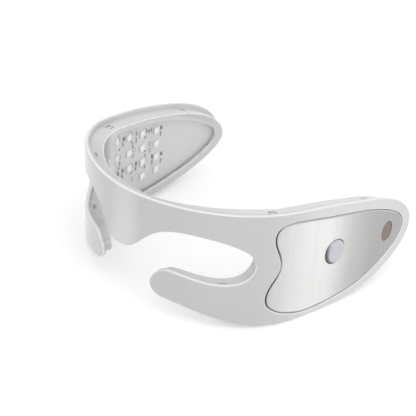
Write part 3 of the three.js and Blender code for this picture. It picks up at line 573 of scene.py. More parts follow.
def near_rounding(radius: float, depth: float, steps: int = 4) -> Profile:
    """Insets and depths of a rounded edge that starts on a face at a depth."""
    angles = [math.pi / 2 * i / steps for i in range(steps + 1)]
    return [(radius * (1 - math.sin(a)), depth + radius * (1 - math.cos(a))) for a in angles]


def far_rounding(radius: float, depth: float, steps: int = 4) -> Profile:
    """Insets and depths of a rounded edge that ends on a face at a depth."""
    return [(inset, 2 * depth - at) for inset, at in reversed(near_rounding(radius, depth, steps))]


def hole_edge(profile: Profile) -> Profile:
    """The same rounded edge, on the rim of a hole."""
    return [(-inset, depth) for inset, depth in profile]


@dataclass
class FlatBody:
    """Collects the surfaces of a body drawn in the flat layout."""

    points: list[np.ndarray] = field(default_factory=list)
    faces: list[tuple[tuple[int, ...], int]] = field(default_factory=list)
    count: int = 0

    def add_points(self, points: np.ndarray) -> np.ndarray:
        """Adds points.

        Args:
            points: rows of length along, depth and level.

        Returns:
            The numbers of the points.
        """
        self.points.append(points)
        self.count += len(points)
        return np.arange(self.count - len(points), self.count)

    def loop(self, plane: np.ndarray, depth: float) -> np.ndarray:
        """Adds a closed line of points at a depth."""
        return self.add_points(np.column_stack([plane[:, 0], np.full(len(plane), depth), plane[:, 1]]))

    def band(self, start: np.ndarray, end: np.ndarray, region: Region = Region.BODY) -> None:
        """Joins two closed lines with the same number of points."""
        for a, b, c, d in zip(start, np.roll(start, -1), np.roll(end, -1), end):
            self.faces.append(((int(a), int(b), int(c), int(d)), region.value))

    def skirt(self, outline: Outline, profile: Profile,
              region: Region = Region.BODY) -> tuple[np.ndarray, np.ndarray]:
        """Runs a profile of insets and depths round an outline.

        Args:
            outline: the outline that the profile follows.
            profile: pairs of inset and depth.
            region: the finish of the faces.

        Returns:
            The first and the last closed line of points.
        """
        loops = [self.loop(outline.moved(inset), depth) for inset, depth in profile]
        for start, end in zip(loops, loops[1:]):
            self.band(start, end, region)
        return loops[0], loops[-1]

    def fill(self, outer: np.ndarray, holes: Sequence[np.ndarray] = (), region: Region = Region.BODY,
             step: float = 3.0) -> None:
        """Fills the face between closed lines at one depth.

        Args:
            outer: the line round the face.
            holes: the lines round its holes.
            region: the finish of the face.
            step: distance between the points inside the face.
        """
        every = np.concatenate(self.points)
        loops = [outer, *holes]
        rims = [Outline(every[loop][:, [0, 2]]) for loop in loops]
        depth = float(every[outer[0], 1])
        low, high = rims[0].points.min(axis=0), rims[0].points.max(axis=0)
        grid = np.stack(np.meshgrid(np.arange(low[0] + step / 2, high[0], step),
                                    np.arange(low[1] + step / 2, high[1], step)), axis=-1).reshape(-1, 2)
        grid = grid[self._is_in(rims, grid)]
        for rim in rims:
            grid = grid[rim.distance_to(grid) > RIM_GAP_SHARE * step] if len(grid) else grid
        numbers = np.concatenate([*loops, self.loop(grid, depth)]) if len(grid) else np.concatenate(loops)
        plane = np.concatenate(self.points)[numbers][:, [0, 2]]
        edges, start = [], 0
        for loop in loops:
            edges += [(start + i, start + (i + 1) % len(loop)) for i in range(len(loop))]
            start += len(loop)
        made = delaunay_2d_cdt([Vector(p) for p in plane], edges, [], 0, SAME_POINT)
        places = np.array([tuple(p) for p in made[0]])
        corners = np.array(made[2])
        kept = corners[self._is_in(rims, places[corners].mean(axis=1))]
        for face in kept:
            self.faces.append((tuple(int(numbers[made[3][corner][0]]) for corner in face), region.value))

    @staticmethod
    def _is_in(rims: list[Outline], places: np.ndarray) -> np.ndarray:
        """True for each place inside the first outline and outside the others.

        Args:
            rims: the outline of a face and those of its holes.
            places: rows of length along and level.

        Returns:
            True or False for each place.
        """
        inside = rims[0].holds(places)
        for rim in rims[1:]:
            inside &= ~rim.holds(places)
        return inside

    def slab(self, outline: Outline, depths: tuple[float, float], rounding: float) -> None:
        """A plate between two depths with rounded edges.

        Args:
            outline: its outline.
            depths: the depths of its two faces.
            rounding: the radius of its edges.
        """
        start, end = depths
        profile = near_rounding(rounding, start, SLAB_STEPS) + far_rounding(rounding, end, SLAB_STEPS)
        for line in self.skirt(outline, profile):
            self.fill(line)

    def block(self, middle: np.ndarray, run: np.ndarray, inward: np.ndarray,
              spans: tuple[float, float, float, float], depths: tuple[float, float],
              region: Region = Region.BODY) -> None:
        """A box square to two ways in the flat layout.

        Args:
            middle: the point that its spans start from, such as a point of an edge.
            run: the first way, such as the way along the edge.
            inward: the second way, such as the way into the piece.
            spans: its reach back and forth along the first way, and from and to along the second.
            depths: the depths between which it lies.
            region: the finish of its faces.
        """
        back, forth, near, far = spans
        ring = np.array([middle + a * run + b * inward for a, b in
                         ((back, near), (forth, near), (forth, far), (back, far))])
        start, end = self.loop(ring, depths[0]), self.loop(ring, depths[1])
        self.band(start, end, region)
        self.faces += [(tuple(map(int, start[::-1])), region.value), (tuple(map(int, end)), region.value)]

    def upright_block(self, middle: tuple[float, float], spans: tuple[float, float, float, float],
                      depths: tuple[float, float], region: Region) -> None:
        """A box whose sides run along and up."""
        self.block(np.array(middle), np.array([1.0, 0.0]), np.array([0.0, 1.0]), spans, depths, region)

    def made(self, name: str, place: Callable[[np.ndarray], np.ndarray]) -> Piece:
        """Turns the collected surfaces into an object.

        Args:
            name: the object's name.
            place: lays the flat points in the part's frame, in metres.

        Returns:
            The object, linked to the scene.
        """
        mesh = bpy.data.meshes.new(name)
        mesh.from_pydata(place(np.concatenate(self.points)).tolist(), [], [face for face, _ in self.faces])
        mesh.polygons.foreach_set("material_index", [region for _, region in self.faces])
        work = bmesh.new()
        work.from_mesh(mesh)
        bmesh.ops.remove_doubles(work, verts=work.verts, dist=SAME_VERTEX)
        bmesh.ops.recalc_face_normals(work, faces=work.faces)
        work.to_mesh(mesh)
        work.free()
        return placed(name, mesh)


def smoothed(mesh: bpy.types.Mesh, angle: float = 32.0) -> bpy.types.Mesh:
    """Shades a mesh smoothly, apart from its sharp edges.

    Args:
        mesh: the mesh.
        angle: the least angle of a sharp edge, in degrees.

    Returns:
        The same mesh.
    """
    mesh.shade_smooth()
    mesh.set_sharp_from_angle(angle=math.radians(angle))
    return mesh


def shaded(piece: Piece) -> Piece:
    """Shades a piece smoothly, with normals that follow its large faces.

    Args:
        piece: the piece, in its place.

    Returns:
        The same piece.
    """
    smoothed(piece.data)
    normals = piece.modifiers.new("even_normals", "WEIGHTED_NORMAL")
    normals.keep_sharp = True
    return piece


class Nodes:
    """A shorthand for the node tree of one material."""

    def __init__(self, name: str) -> None:
        """Makes the material with its shader and output.

        Args:
            name: the name of the material.
        """
        self.material = bpy.data.materials.new(name)
        self.material.use_nodes = True
        self.tree = self.material.node_tree
        self.shader = self.tree.nodes["Principled BSDF"]
        self.place = self.add("ShaderNodeTexCoord").outputs["Object"]

    def add(self, kind: str, **inputs: object) -> bpy.types.Node:
        """Adds a node and sets or links its inputs.

        Args:
            kind: the kind of node.
            inputs: what each input gets, with underscores for the spaces in its name.

        Returns:
            The node.
        """
        made = self.tree.nodes.new(kind)
        for key, value in inputs.items():
            self.give(made.inputs[key.replace("_", " ")], value)
        return made

    def give(self, socket: Socket, value: object) -> None:
        """Links a socket to an output, or sets its value.

        Args:
            socket: the input.
            value: an output to link, or a value.
        """
        if isinstance(value, Socket):
            self.tree.links.new(value, socket)
        elif isinstance(value, tuple) and socket.type == "RGBA":
            socket.default_value = (*value, 1.0)
        else:
            socket.default_value = value

    def stretched(self, stretch: Place) -> Socket:
        """The place on the surface, with each axis stretched."""
        return self.add("ShaderNodeMapping", Vector=self.place, Scale=stretch).outputs[0]

    def noise(self, scale: float, detail: float = 3.0, stretch: Place = (1.0, 1.0, 1.0)) -> Socket:
        """Noise with so many bumps in a metre, stretched along the axes."""
        made = self.add("ShaderNodeTexNoise", Vector=self.stretched(stretch), Scale=scale, Detail=detail)
        return made.outputs["Fac"]

    def ramp(self, source: Socket, stops: list[tuple[float, Colour]]) -> Socket:
        """Colours along a value.

        Args:
            source: the value.
            stops: pairs of a value and its colour.

        Returns:
            The colour.
        """
        made = self.add("ShaderNodeValToRGB", Fac=source)
        elements = made.color_ramp.elements
        while len(elements) < len(stops):
            elements.new(0.5)
        for element, (at, colour) in zip(elements, stops):
            element.position = at
            element.color = (*colour, 1.0)
        return made.outputs["Color"]

    def between(self, source: Socket, low: float, high: float,
                start: float = 0.0, end: float = 1.0) -> Socket:
        """A value moved from one range to another and kept within it.

        Args:
            source: the value.
            low: the new range's start.
            high: the new range's end.
            start: the old range's start.
            end: the old range's end.

        Returns:
            The moved value.
        """
        made = self.add("ShaderNodeMapRange", Value=source)
        for key, value in (("From Min", start), ("From Max", end), ("To Min", low), ("To Max", high)):
            made.inputs[key].default_value = value
        return made.outputs["Result"]

    def work_out(self, kind: str, operation: str, first: object, second: object,
                 output: object = 0) -> Socket:
        """The outcome of a math node.

        Args:
            kind: the kind of node.
            operation: what it works out.
            first: its first input, an output to link or a value.
            second: its second input.
            output: which of its outputs is meant.

        Returns:
            The output.
        """
        made = self.tree.nodes.new(kind)
        made.operation = operation
        self.give(made.inputs[0], first)
        self.give(made.inputs[1], second)
        return made.outputs[output]

    def product(self, first: object, second: object) -> Socket:
        """Two numbers multiplied."""
        return self.work_out("ShaderNodeMath", "MULTIPLY", first, second)

    def tinted(self, colour: Socket, share: Socket) -> Socket:
        """A colour multiplied by a number or by a colour."""
        return self.work_out("ShaderNodeVectorMath", "MULTIPLY", colour, share)

    def distance(self, place: Place, stretch: Place) -> Socket:
        """How far a point of the surface is from a place, both stretched along the axes."""
        target = tuple(part * share for part, share in zip(place, stretch))
        return self.work_out("ShaderNodeVectorMath", "DISTANCE", self.stretched(stretch), target, "Value")

    def along_y(self, stops: list[tuple[float, Colour]]) -> Socket:
        """Colours at places along Y, in metres.

        Args:
            stops: pairs of a place and its colour.

        Returns:
            The colour.
        """
        along = self.add("ShaderNodeSeparateXYZ", Vector=self.place).outputs["Y"]
        start, end = stops[0][0], stops[-1][0]
        shares = [((place - start) / (end - start), colour) for place, colour in stops]
        return self.ramp(self.between(along, 0.0, 1.0, start, end), shares)

    def spread(self, source: Socket, middle: float, low: float, high: float) -> Socket:
        """A number that varies between two shares of its middle."""
        return self.between(source, middle * low, middle * high)

    def bump(self, source: Socket, height: float, strength: float) -> Socket:
        """Bumps of a height in metres."""
        return self.add("ShaderNodeBump", Height=source, Distance=height, Strength=strength).outputs["Normal"]

    def finished(self, **inputs: object) -> bpy.types.Material:
        """Sets or links the shader's inputs.

        Args:
            inputs: what each input gets, named as in add.

        Returns:
            The material.
        """
        for key, value in inputs.items():
            self.give(self.shader.inputs[key.replace("_", " ")], value)
        return self.material


def scaled(colour: Colour, share: float) -> Colour:
    """A colour made darker or lighter by a share, kept within white."""
    return tuple(min(1.0, part * share) for part in colour)


def linear(red: float, green: float, blue: float) -> Colour:
    """A colour as it looks on screen, in the linear values of a shader."""
    return tuple(part / 12.92 if part <= 0.04045 else ((part + 0.055) / 1.055) ** 2.4
                 for part in (red, green, blue))


def grey(level: float) -> Colour:
    """A grey as it looks on screen, in the linear values of a shader."""
    return linear(level, level, level)


@dataclass(frozen=True)
class Plastic:
    """A moulded plastic: even colour, a faint moulding grain and a gloss that varies a little.

    Its colour shares along Y, pairs of a place in metres and the share of the colour there, paint light and
    shade. Near one place the colour is lighter by a share, a painted highlight.
    """

    name: str
    colour: Colour
    roughness: float = 0.25
    variation: float = 0.02
    grain_scale: float = 2600.0
    grain_height: float = 0.00001
    coat: float = 0.0
    opacity: float = 1.0
    # A painted glow, given as emission, for parts that are no lamps.
    glow: float = 0.0
    cloud_scale: float = 45.0
    # Painted light and shade: shares of the colour at places along Y.
    shares_along: Shares = ()
    # A painted highlight: the colour is lighter near one place.
    pale_place: Place = (0.0018, -0.0778, 0.036)
    pale_reach: tuple[float, float] = (0.0045, 0.0125)
    pale_stretch: Place = (1.0, 1.0, 0.2)
    pale_share: float = 1.0
    gloss_scale: float = 180.0
    gloss_shares: tuple[float, float] = (0.85, 1.15)
    grain_strength: float = 0.3
    coat_roughness: float = 0.06

    def material(self) -> bpy.types.Material:
        """Builds the material.

        Returns:
            The material.
        """
        nodes = Nodes(self.name)
        top = max((share for _, share in self.shares_along), default=1.0)
        tones = [scaled(self.colour, top * (1 + change)) for change in (-self.variation, self.variation)]
        colour = nodes.ramp(nodes.noise(self.cloud_scale), list(zip(CLOUD_SPAN, tones)))
        if self.shares_along:
            shares = [(y, (share / top,) * 3) for y, share in self.shares_along]
            colour = nodes.tinted(colour, nodes.along_y(shares))
        if self.pale_share > 1:
            away = nodes.distance(self.pale_place, self.pale_stretch)
            colour = nodes.tinted(colour, nodes.between(away, self.pale_share, 1.0, *self.pale_reach))
        return nodes.finished(
            Base_Color=colour,
            Roughness=nodes.spread(nodes.noise(self.gloss_scale), self.roughness, *self.gloss_shares),
            Normal=nodes.bump(nodes.noise(self.grain_scale, 2.0), self.grain_height, self.grain_strength),
            Coat_Weight=self.coat, Coat_Roughness=self.coat_roughness, Alpha=self.opacity,
            Emission_Color=self.colour, Emission_Strength=self.glow)


@dataclass(frozen=True)
class GlossPlastic(Plastic):
    """A plastic out of a polished mould, with a gloss on top."""

    roughness: float = 0.16
    variation: float = 0.006
    grain_scale: float = 2200.0
    grain_height: float = 0.000004
    coat: float = 0.5


@dataclass(frozen=True)
class ClearPlastic(GlossPlastic):
    """A glossy plastic that shows what is behind it."""

    roughness: float = 0.1
    variation: float = 0.01
    coat: float = 0.6


@dataclass(frozen=True)
class PolishedMetal:
    """A bright rolled metal with faint upright streaks, and a painted reflection that darkens it towards the
    tail.

    Its tones, pairs of a place along Y in metres and the lightness on screen there, are a painted reflection.
    """

    name: str
    roughness: float = 0.14
    streak_scale: float = 420.0
    streak_stretch: Place = (1.0, 1.0, 0.03)
    streak_dark: float = 0.955
    # A painted reflection: lighter at the front and darker towards the tail.
    tones: tuple[tuple[float, float], ...] = (
        (-0.038, 0.775), (-0.03, 0.826), (-0.0225, 0.869), (-0.013, 0.898), (-0.003, 0.908), (0.004, 0.902),
        (0.0135, 0.83), (0.021, 0.772), (0.028, 0.739), (0.038, 0.692), (0.046, 0.674), (0.075, 0.658))
    warmth: Colour = (1.0, 1.0, 0.996)
    grain_scale: float = 900.0
    grain_stretch: Place = (1.0, 1.0, 0.1)
    grain_height: float = 0.00001
    grain_strength: float = 0.15
    gloss_shares: tuple[float, float] = (0.8, 1.3)

    def material(self) -> bpy.types.Material:
        """Builds the material.

        Returns:
            The material.
        """
        nodes = Nodes(self.name)
        streaks = nodes.noise(self.streak_scale, 3.0, self.streak_stretch)
        tones = [(y, linear(*scaled(self.warmth, light))) for y, light in self.tones]
        streak = nodes.ramp(streaks, list(zip(CLOUD_SPAN, ((self.streak_dark,) * 3, WHITE))))
        grain = nodes.noise(self.grain_scale, 2.0, self.grain_stretch)
        return nodes.finished(
            Base_Color=nodes.tinted(nodes.along_y(tones), streak),
            Roughness=nodes.spread(streaks, self.roughness, *self.gloss_shares),
            Normal=nodes.bump(grain, self.grain_height, self.grain_strength), Metallic=1.0)


@dataclass(frozen=True)
class Metal:
    """A small stamped or turned metal part with fine scratches."""

    name: str
    colour: Colour
    roughness: float = 0.3
    dark_share: float = 0.88
    scratch_scale: float = 1500.0
    scratch_stretch: Place = (0.15, 1.0, 1.0)
    scratch_depth: float = 0.000008
    scratch_strength: float = 0.3
    gloss_shares: tuple[float, float] = (0.7, 1.4)

    def material(self) -> bpy.types.Material:
        """Builds the material.

        Returns:
            The material.
        """
        nodes = Nodes(self.name)
        scratches = nodes.noise(self.scratch_scale, 4.0, self.scratch_stretch)
        tones = (scaled(self.colour, self.dark_share), self.colour)
        return nodes.finished(
            Base_Color=nodes.ramp(scratches, list(zip(CLOUD_SPAN, tones))),
            Roughness=nodes.spread(scratches, self.roughness, *self.gloss_shares),
            Normal=nodes.bump(scratches, self.scratch_depth, self.scratch_strength), Metallic=1.0)


@dataclass(frozen=True)
class PaintedShadeEdge:
    """A narrow edge with painted shade: dark where it faces one way and light elsewhere, the painted shade
    fading near one place.
    """

    name: str
    dark: Colour
    light: Colour
    faces: Place
    turn: tuple[float, float]
    roughness: float = 0.35
    fade_place: Place = (0.0, -0.0285, 0.0375)
    fade_stretch: Place = (0.0, 1.0, 1.0)
    fade_reach: tuple[float, float] = (0.002, 0.009)
    fade_share: float = 1.0

    def material(self) -> bpy.types.Material:
        """Builds the material.

        Returns:
            The material.
        """
        nodes = Nodes(self.name)
        normal = nodes.add("ShaderNodeNewGeometry").outputs["Normal"]
        facing = nodes.work_out("ShaderNodeVectorMath", "DOT_PRODUCT", normal, self.faces, "Value")
        away = nodes.distance(self.fade_place, self.fade_stretch)
        share = nodes.product(nodes.between(facing, 0.0, 1.0, *self.turn),
                              nodes.between(away, self.fade_share, 1.0, *self.fade_reach))
        return nodes.finished(Base_Color=nodes.ramp(share, [(0.0, self.light), (1.0, self.dark)]),
                              Roughness=self.roughness)


@dataclass(frozen=True)
class Finishes:
    """Every finish of the visor, by the name of its slot."""

    # Painted light and shade: the shell is darker at the brow and lighter along the arms, and paler on the
    # nose lobe, a painted highlight.
    shell: Plastic = GlossPlastic(
        "white_gloss_shell", linear(0.799, 0.794, 0.8), pale_share=1.2,
        shares_along=((-0.078, 0.99), (-0.06, 0.98), (-0.042, 0.95), (-0.025, 1.0),
                      (-0.01, 1.13), (0.02, 1.14), (0.045, 1.1), (0.075, 1.03)))
    # A painted highlight: a lighter white on the shell's rounded edges and on the lips of the recesses.
    shell_edge: Plastic = GlossPlastic("white_gloss_painted_highlight", linear(0.93, 0.93, 0.935))
    # Painted shade: the tray's wall is darker towards the brow.
    tray: Plastic = ClearPlastic("clear_tray_wall", linear(0.905, 0.905, 0.91), opacity=0.82,
                                 shares_along=((-0.072, 0.84), (-0.045, 1.0)))
    panel: Plastic = ClearPlastic("clear_tray_panel", grey(0.93), roughness=0.08, opacity=0.14)
    tray_rim: Plastic = ClearPlastic("clear_tray_rim", linear(0.9, 0.9, 0.905), opacity=0.66)
    # Painted highlights and reflections: the tray's rounded edges are lighter, and strong fine blotches paint
    # reflected dashes along them.
    tray_edge: Plastic = ClearPlastic("clear_tray_painted_highlight", linear(0.92, 0.92, 0.925), opacity=0.93,
                                      variation=0.12, cloud_scale=260.0)
    plate: PolishedMetal = PolishedMetal("polished_plate")
    # Painted shade: the plate's bevelled edge is dark where it faces forward, the shadow of the gap round the
    # plate, and less dark at the plate's waist.
    plate_edge: PaintedShadeEdge = PaintedShadeEdge("plate_edge", dark=grey(0.26), light=grey(0.76),
                                          faces=(0.0, -1.0, 0.1), turn=(0.45, 0.72), fade_share=0.15)
    tape: Plastic = Plastic("grey_tape", linear(0.62, 0.62, 0.6), roughness=0.85, variation=0.08,
                            grain_scale=3500.0, grain_height=0.00004)
    button: Plastic = Plastic("satin_button", linear(0.775, 0.78, 0.8), roughness=0.34, variation=0.01,
                              grain_scale=3000.0, grain_height=0.000006)
    # Painted shade: the cap's rounded side is dark where it faces forward and down, a shaded crescent.
    button_rim: PaintedShadeEdge = PaintedShadeEdge("button_rim", dark=linear(0.4, 0.4, 0.41),
                                          light=linear(0.775, 0.78, 0.8), faces=(0.0, -0.85, -0.53),
                                          turn=(0.0, 0.7))
    status: Plastic = Plastic("smoked_window", linear(0.49, 0.408, 0.39), roughness=0.3, variation=0.03,
                              grain_scale=2500.0, grain_height=0.000004)
    board: Plastic = Plastic("white_solder_mask", grey(0.915), roughness=0.4, grain_scale=4000.0)
    # A painted glow: the white packages and the pale lenses give off a little light though they are off.
    led: Plastic = Plastic("white_package", grey(0.98), roughness=0.4, variation=0.01,
                           grain_scale=5000.0, grain_height=0.000005, glow=0.06)
    lens: Plastic = Plastic("pale_lens", linear(1.0, 1.0, 0.99), roughness=0.12, variation=0.01,
                            grain_scale=3000.0, grain_height=0.000004, coat=0.8, glow=0.14)
    array: Plastic = Plastic("grey_moulding", grey(0.42), roughness=0.5, variation=0.06, grain_scale=4000.0)
    circuit: Plastic = Plastic("green_solder_mask", linear(0.16, 0.4, 0.26), roughness=0.4,
                               variation=0.08, grain_scale=3500.0, coat=0.2)
    black: Plastic = Plastic("black_moulding", linear(0.16, 0.16, 0.17), roughness=0.45, variation=0.08,
                             grain_scale=4000.0)
    steel: Metal = Metal("drawn_steel", linear(0.76, 0.77, 0.78))
    pads: Metal = Metal("tinned_pads", grey(0.7), roughness=0.4)
    pouch: Metal = Metal("foil_pouch", linear(0.78, 0.79, 0.8), roughness=0.42)
    ribbon: Plastic = Plastic("amber_film", linear(0.82, 0.6, 0.26), roughness=0.35, variation=0.05,
                              grain_scale=3000.0, grain_height=0.000008, coat=0.3)


@dataclass
class Wardrobe:
    """Makes each finish once, and dresses pieces and CAD nodes with it."""

    finishes: Finishes = field(default_factory=Finishes)
    made: dict[str, bpy.types.Material] = field(default_factory=dict)

    def get(self, slot: str) -> bpy.types.Material:
        """The material of a slot.

        Args:
            slot: the name of a slot or of another finish.

        Returns:
            The material.
        """
        if slot not in self.made:
            self.made[slot] = getattr(self.finishes, slot).material()
        return self.made[slot]

    def dress(self, piece: Piece, slot: str, nodes: Sequence[str] = (), extra: Sequence[str] = (),
              body: str = "visor") -> None:
        """Gives a finished piece the materials of its slot and finishes, puts it on its body and hides the
        nodes it stands for.

        Args:
            piece: the piece, in its place.
            slot: the record's slot, which is also the first finish.
            nodes: the CAD nodes that it replaces.
            extra: the finishes of its other regions.
            body: the CAD body that it rides on.
        """
        for name in (slot, *extra):
            piece.data.materials.append(self.get(name))
        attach(piece, body)
        if nodes:
            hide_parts(*nodes)
        LOG.info("%s: %d faces, on %s", piece.name, len(piece.data.polygons), body)

    def carry_over(self, node: str, slot: str) -> None:
        """Gives a CAD node that stays a finish of its own slot.

        Args:
            node: the name of the node.
            slot: its slot.
        """
        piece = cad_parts[node]
        if not piece.material_slots:
            piece.data.materials.append(None)
        for held in piece.material_slots:
            held.material = self.get(slot)
        LOG.info("%s: carried over in %s", node, slot)


@dataclass
class Shell:
    """The white gloss shell, with its recesses, its hooks and its posts.

    Its outline is drawn in by its relief, and between two rows of its rounded edge the edge has a lighter
    finish of its own, a painted highlight.
    """

    form: Form
    thickness: float = 2.8
    rounding: float = 1.0
    back_rounding: float = 0.3
    edge_depth: float = 1.75
    rounding_steps: int = 6
    back_steps: int = 3
    edge_rows: tuple[int, int] = (3, 7)
    relief: float = 0.1
    face_step: float = 2.5
    recess: float = 1.7
    recess_lip: float = 0.45
    plate_gap: float = 0.35
    button_hole: float = 7.6
    light_hole: float = 2.2
    embed: float = 0.6
    hook_inset: float = 4.4
    hook_width: float = 4.4
    hook_thickness: float = 1.0
    hook_reach: float = 1.4
    hook_depths: tuple[float, float] = (5.4, 6.6)
    hook_tongue: float = 2.0
    tongue_insets: tuple[float, float] = (2.6, 4.2)
    post_radius: float = 1.5
    post_sides: int = 24
    post_chamfer: float = 0.2
    moulded_edge: float = 0.12
    arm_post_end: float = 7.1
    eye_post_end: float = 5.1
    motor_shares: tuple[float, float] = (0.366, 0.285)
    motor_depth: float = 6.0
    groove_radius: float = 2.65
    groove_steps: int = 16
    cradle_half: float = 3.85
    cradle_length: float = 5.0

    def edge(self) -> Outline:
        """The outline of the whole shell, tail to tail.

        Returns:
            The outline.
        """
        mirrored = tuple((-x, z) for x, z in reversed(SHELL_SHARES))
        whole = Outline.through(SHELL_SHARES + mirrored, self.form)
        return Outline(whole.moved(self.relief))

    def build_skin(self) -> Piece:
        """The moulded wall, with a recess for each plate and a hole for the button.

        Returns:
            The piece, in its place.
        """
        body = FlatBody()
        edge = self.edge()
        first, last = self.edge_rows
        outside = (near_rounding(self.rounding, 0, self.rounding_steps) + [(0.0, self.edge_depth)]
                   + far_rounding(self.back_rounding, self.thickness, self.back_steps))
        front, _ = body.skirt(edge, outside[:first + 1])
        # The middle rows of the rounded edge take the lighter finish, a painted highlight.
        body.skirt(edge, outside[first:last + 1], Region.FACE)
        _, back = body.skirt(edge, outside[last:])
        tops, bores = [], []
        for side in Side:
            recess = Outline(plate_outline(self.form, side).moved(-self.plate_gap))
            # The recess lip also takes the lighter finish, a painted highlight.
            top, _ = body.skirt(recess, hole_edge(near_rounding(self.recess_lip, 0)), Region.FACE)
            _, floor = body.skirt(recess, [(0.0, self.recess_lip), (0.0, self.recess)])
            tops.append(top)
            holes = self.holes(body) if side is Side.LEFT else []
            body.fill(floor, [hole[0] for hole in holes])
            bores += [hole[1] for hole in holes]
        body.fill(front, tops, step=self.face_step)
        body.fill(back, bores)
        return shaded(body.made("shell_skin", self.form.bend))

    def holes(self, body: FlatBody) -> list[tuple[np.ndarray, np.ndarray]]:
        """The bores for the button and for the status light, from the recess to the back.

        Args:
            body: collects the surfaces.

        Returns:
            The first and the last line of points of each bore.
        """
        window = self.form.spot(self.form.window_shares)
        depths = [(0.0, self.recess), (0.0, self.thickness)]
        return [body.skirt(Outline.circle(middle, radius), depths)
                for middle, radius in ((self.form.button, self.button_hole), (window, self.light_hole))]

    def build_fittings(self) -> Piece:
        """The snap hooks, board posts and motor saddles on the inside of the wall.

        Returns:
            The piece, in its place.
        """
        body = FlatBody()
        edge = self.edge()
        root = self.thickness - self.embed
        low, high = self.hook_depths
        inner = self.hook_inset + self.hook_thickness
        half = self.hook_width / 2
        for side in Side:
            for shares in HOOK_SHARES:
                place = edge.edge_at(*self.form.spot(shares, side))
                body.block(*place, (-half, half, self.hook_inset, inner), (root, low))
                body.block(*place, (-half, half, self.hook_inset - self.hook_reach, inner), (low, high))
                if shares in TONGUE_HOOK_SHARES:
                    start, end = self.tongue_insets
                    body.block(*place, (-half, half, start, end), (high, high + self.hook_tongue))
            for spots, end in ((ARM_POST_SHARES, self.arm_post_end), (EYE_POST_SHARES, self.eye_post_end)):
                for shares in spots:
                    post = Outline.circle(self.form.spot(shares, side), self.post_radius, self.post_sides)
                    chamfer = self.post_chamfer
                    for line in body.skirt(post, [(0.0, root), (0.0, end - chamfer), (chamfer, end)]):
                        body.fill(line)
            self.add_cradle(body, side)
        piece = body.made("shell_hooks_and_posts", self.form.bend)
        bevel = piece.modifiers.new("moulded_edges", "BEVEL")
        bevel.width = self.moulded_edge * MM
        bevel.segments = 2
        bevel.limit_method = "ANGLE"
        return shaded(piece)

    def add_cradle(self, body: FlatBody, side: Side) -> None:
        """The saddle that carries a motor.

        Args:
            body: collects the surfaces.
            side: the arm that it stands in.
        """
        angles = np.linspace(0, -math.pi, self.groove_steps + 1)
        groove = self.groove_radius * np.column_stack([np.cos(angles), np.sin(angles)])
        root = self.thickness - self.embed - self.motor_depth
        corners = np.array([(self.cradle_half, root), (self.cradle_half, 0.0)])
        section = np.concatenate([corners, groove, corners[::-1] * (-1, 1)])
        middle, level = self.form.spot(self.motor_shares, side)
        ends = []
        for reach in (-self.cradle_length / 2, self.cradle_length / 2):
            rows = np.column_stack([np.full(len(section), middle + reach), section[:, 1] + self.motor_depth,
                                    section[:, 0] + level])
            ends.append(body.add_points(rows))
        body.band(ends[0], ends[1])
        body.faces += [(tuple(map(int, ring)), Region.BODY.value) for ring in ends]

    def build(self, wardrobe: Wardrobe) -> None:
        """Makes and dresses the shell."""
        wardrobe.dress(self.build_skin(), "shell", ["outer_shell"], ("shell_edge",))
        wardrobe.dress(self.build_fittings(), "shell")


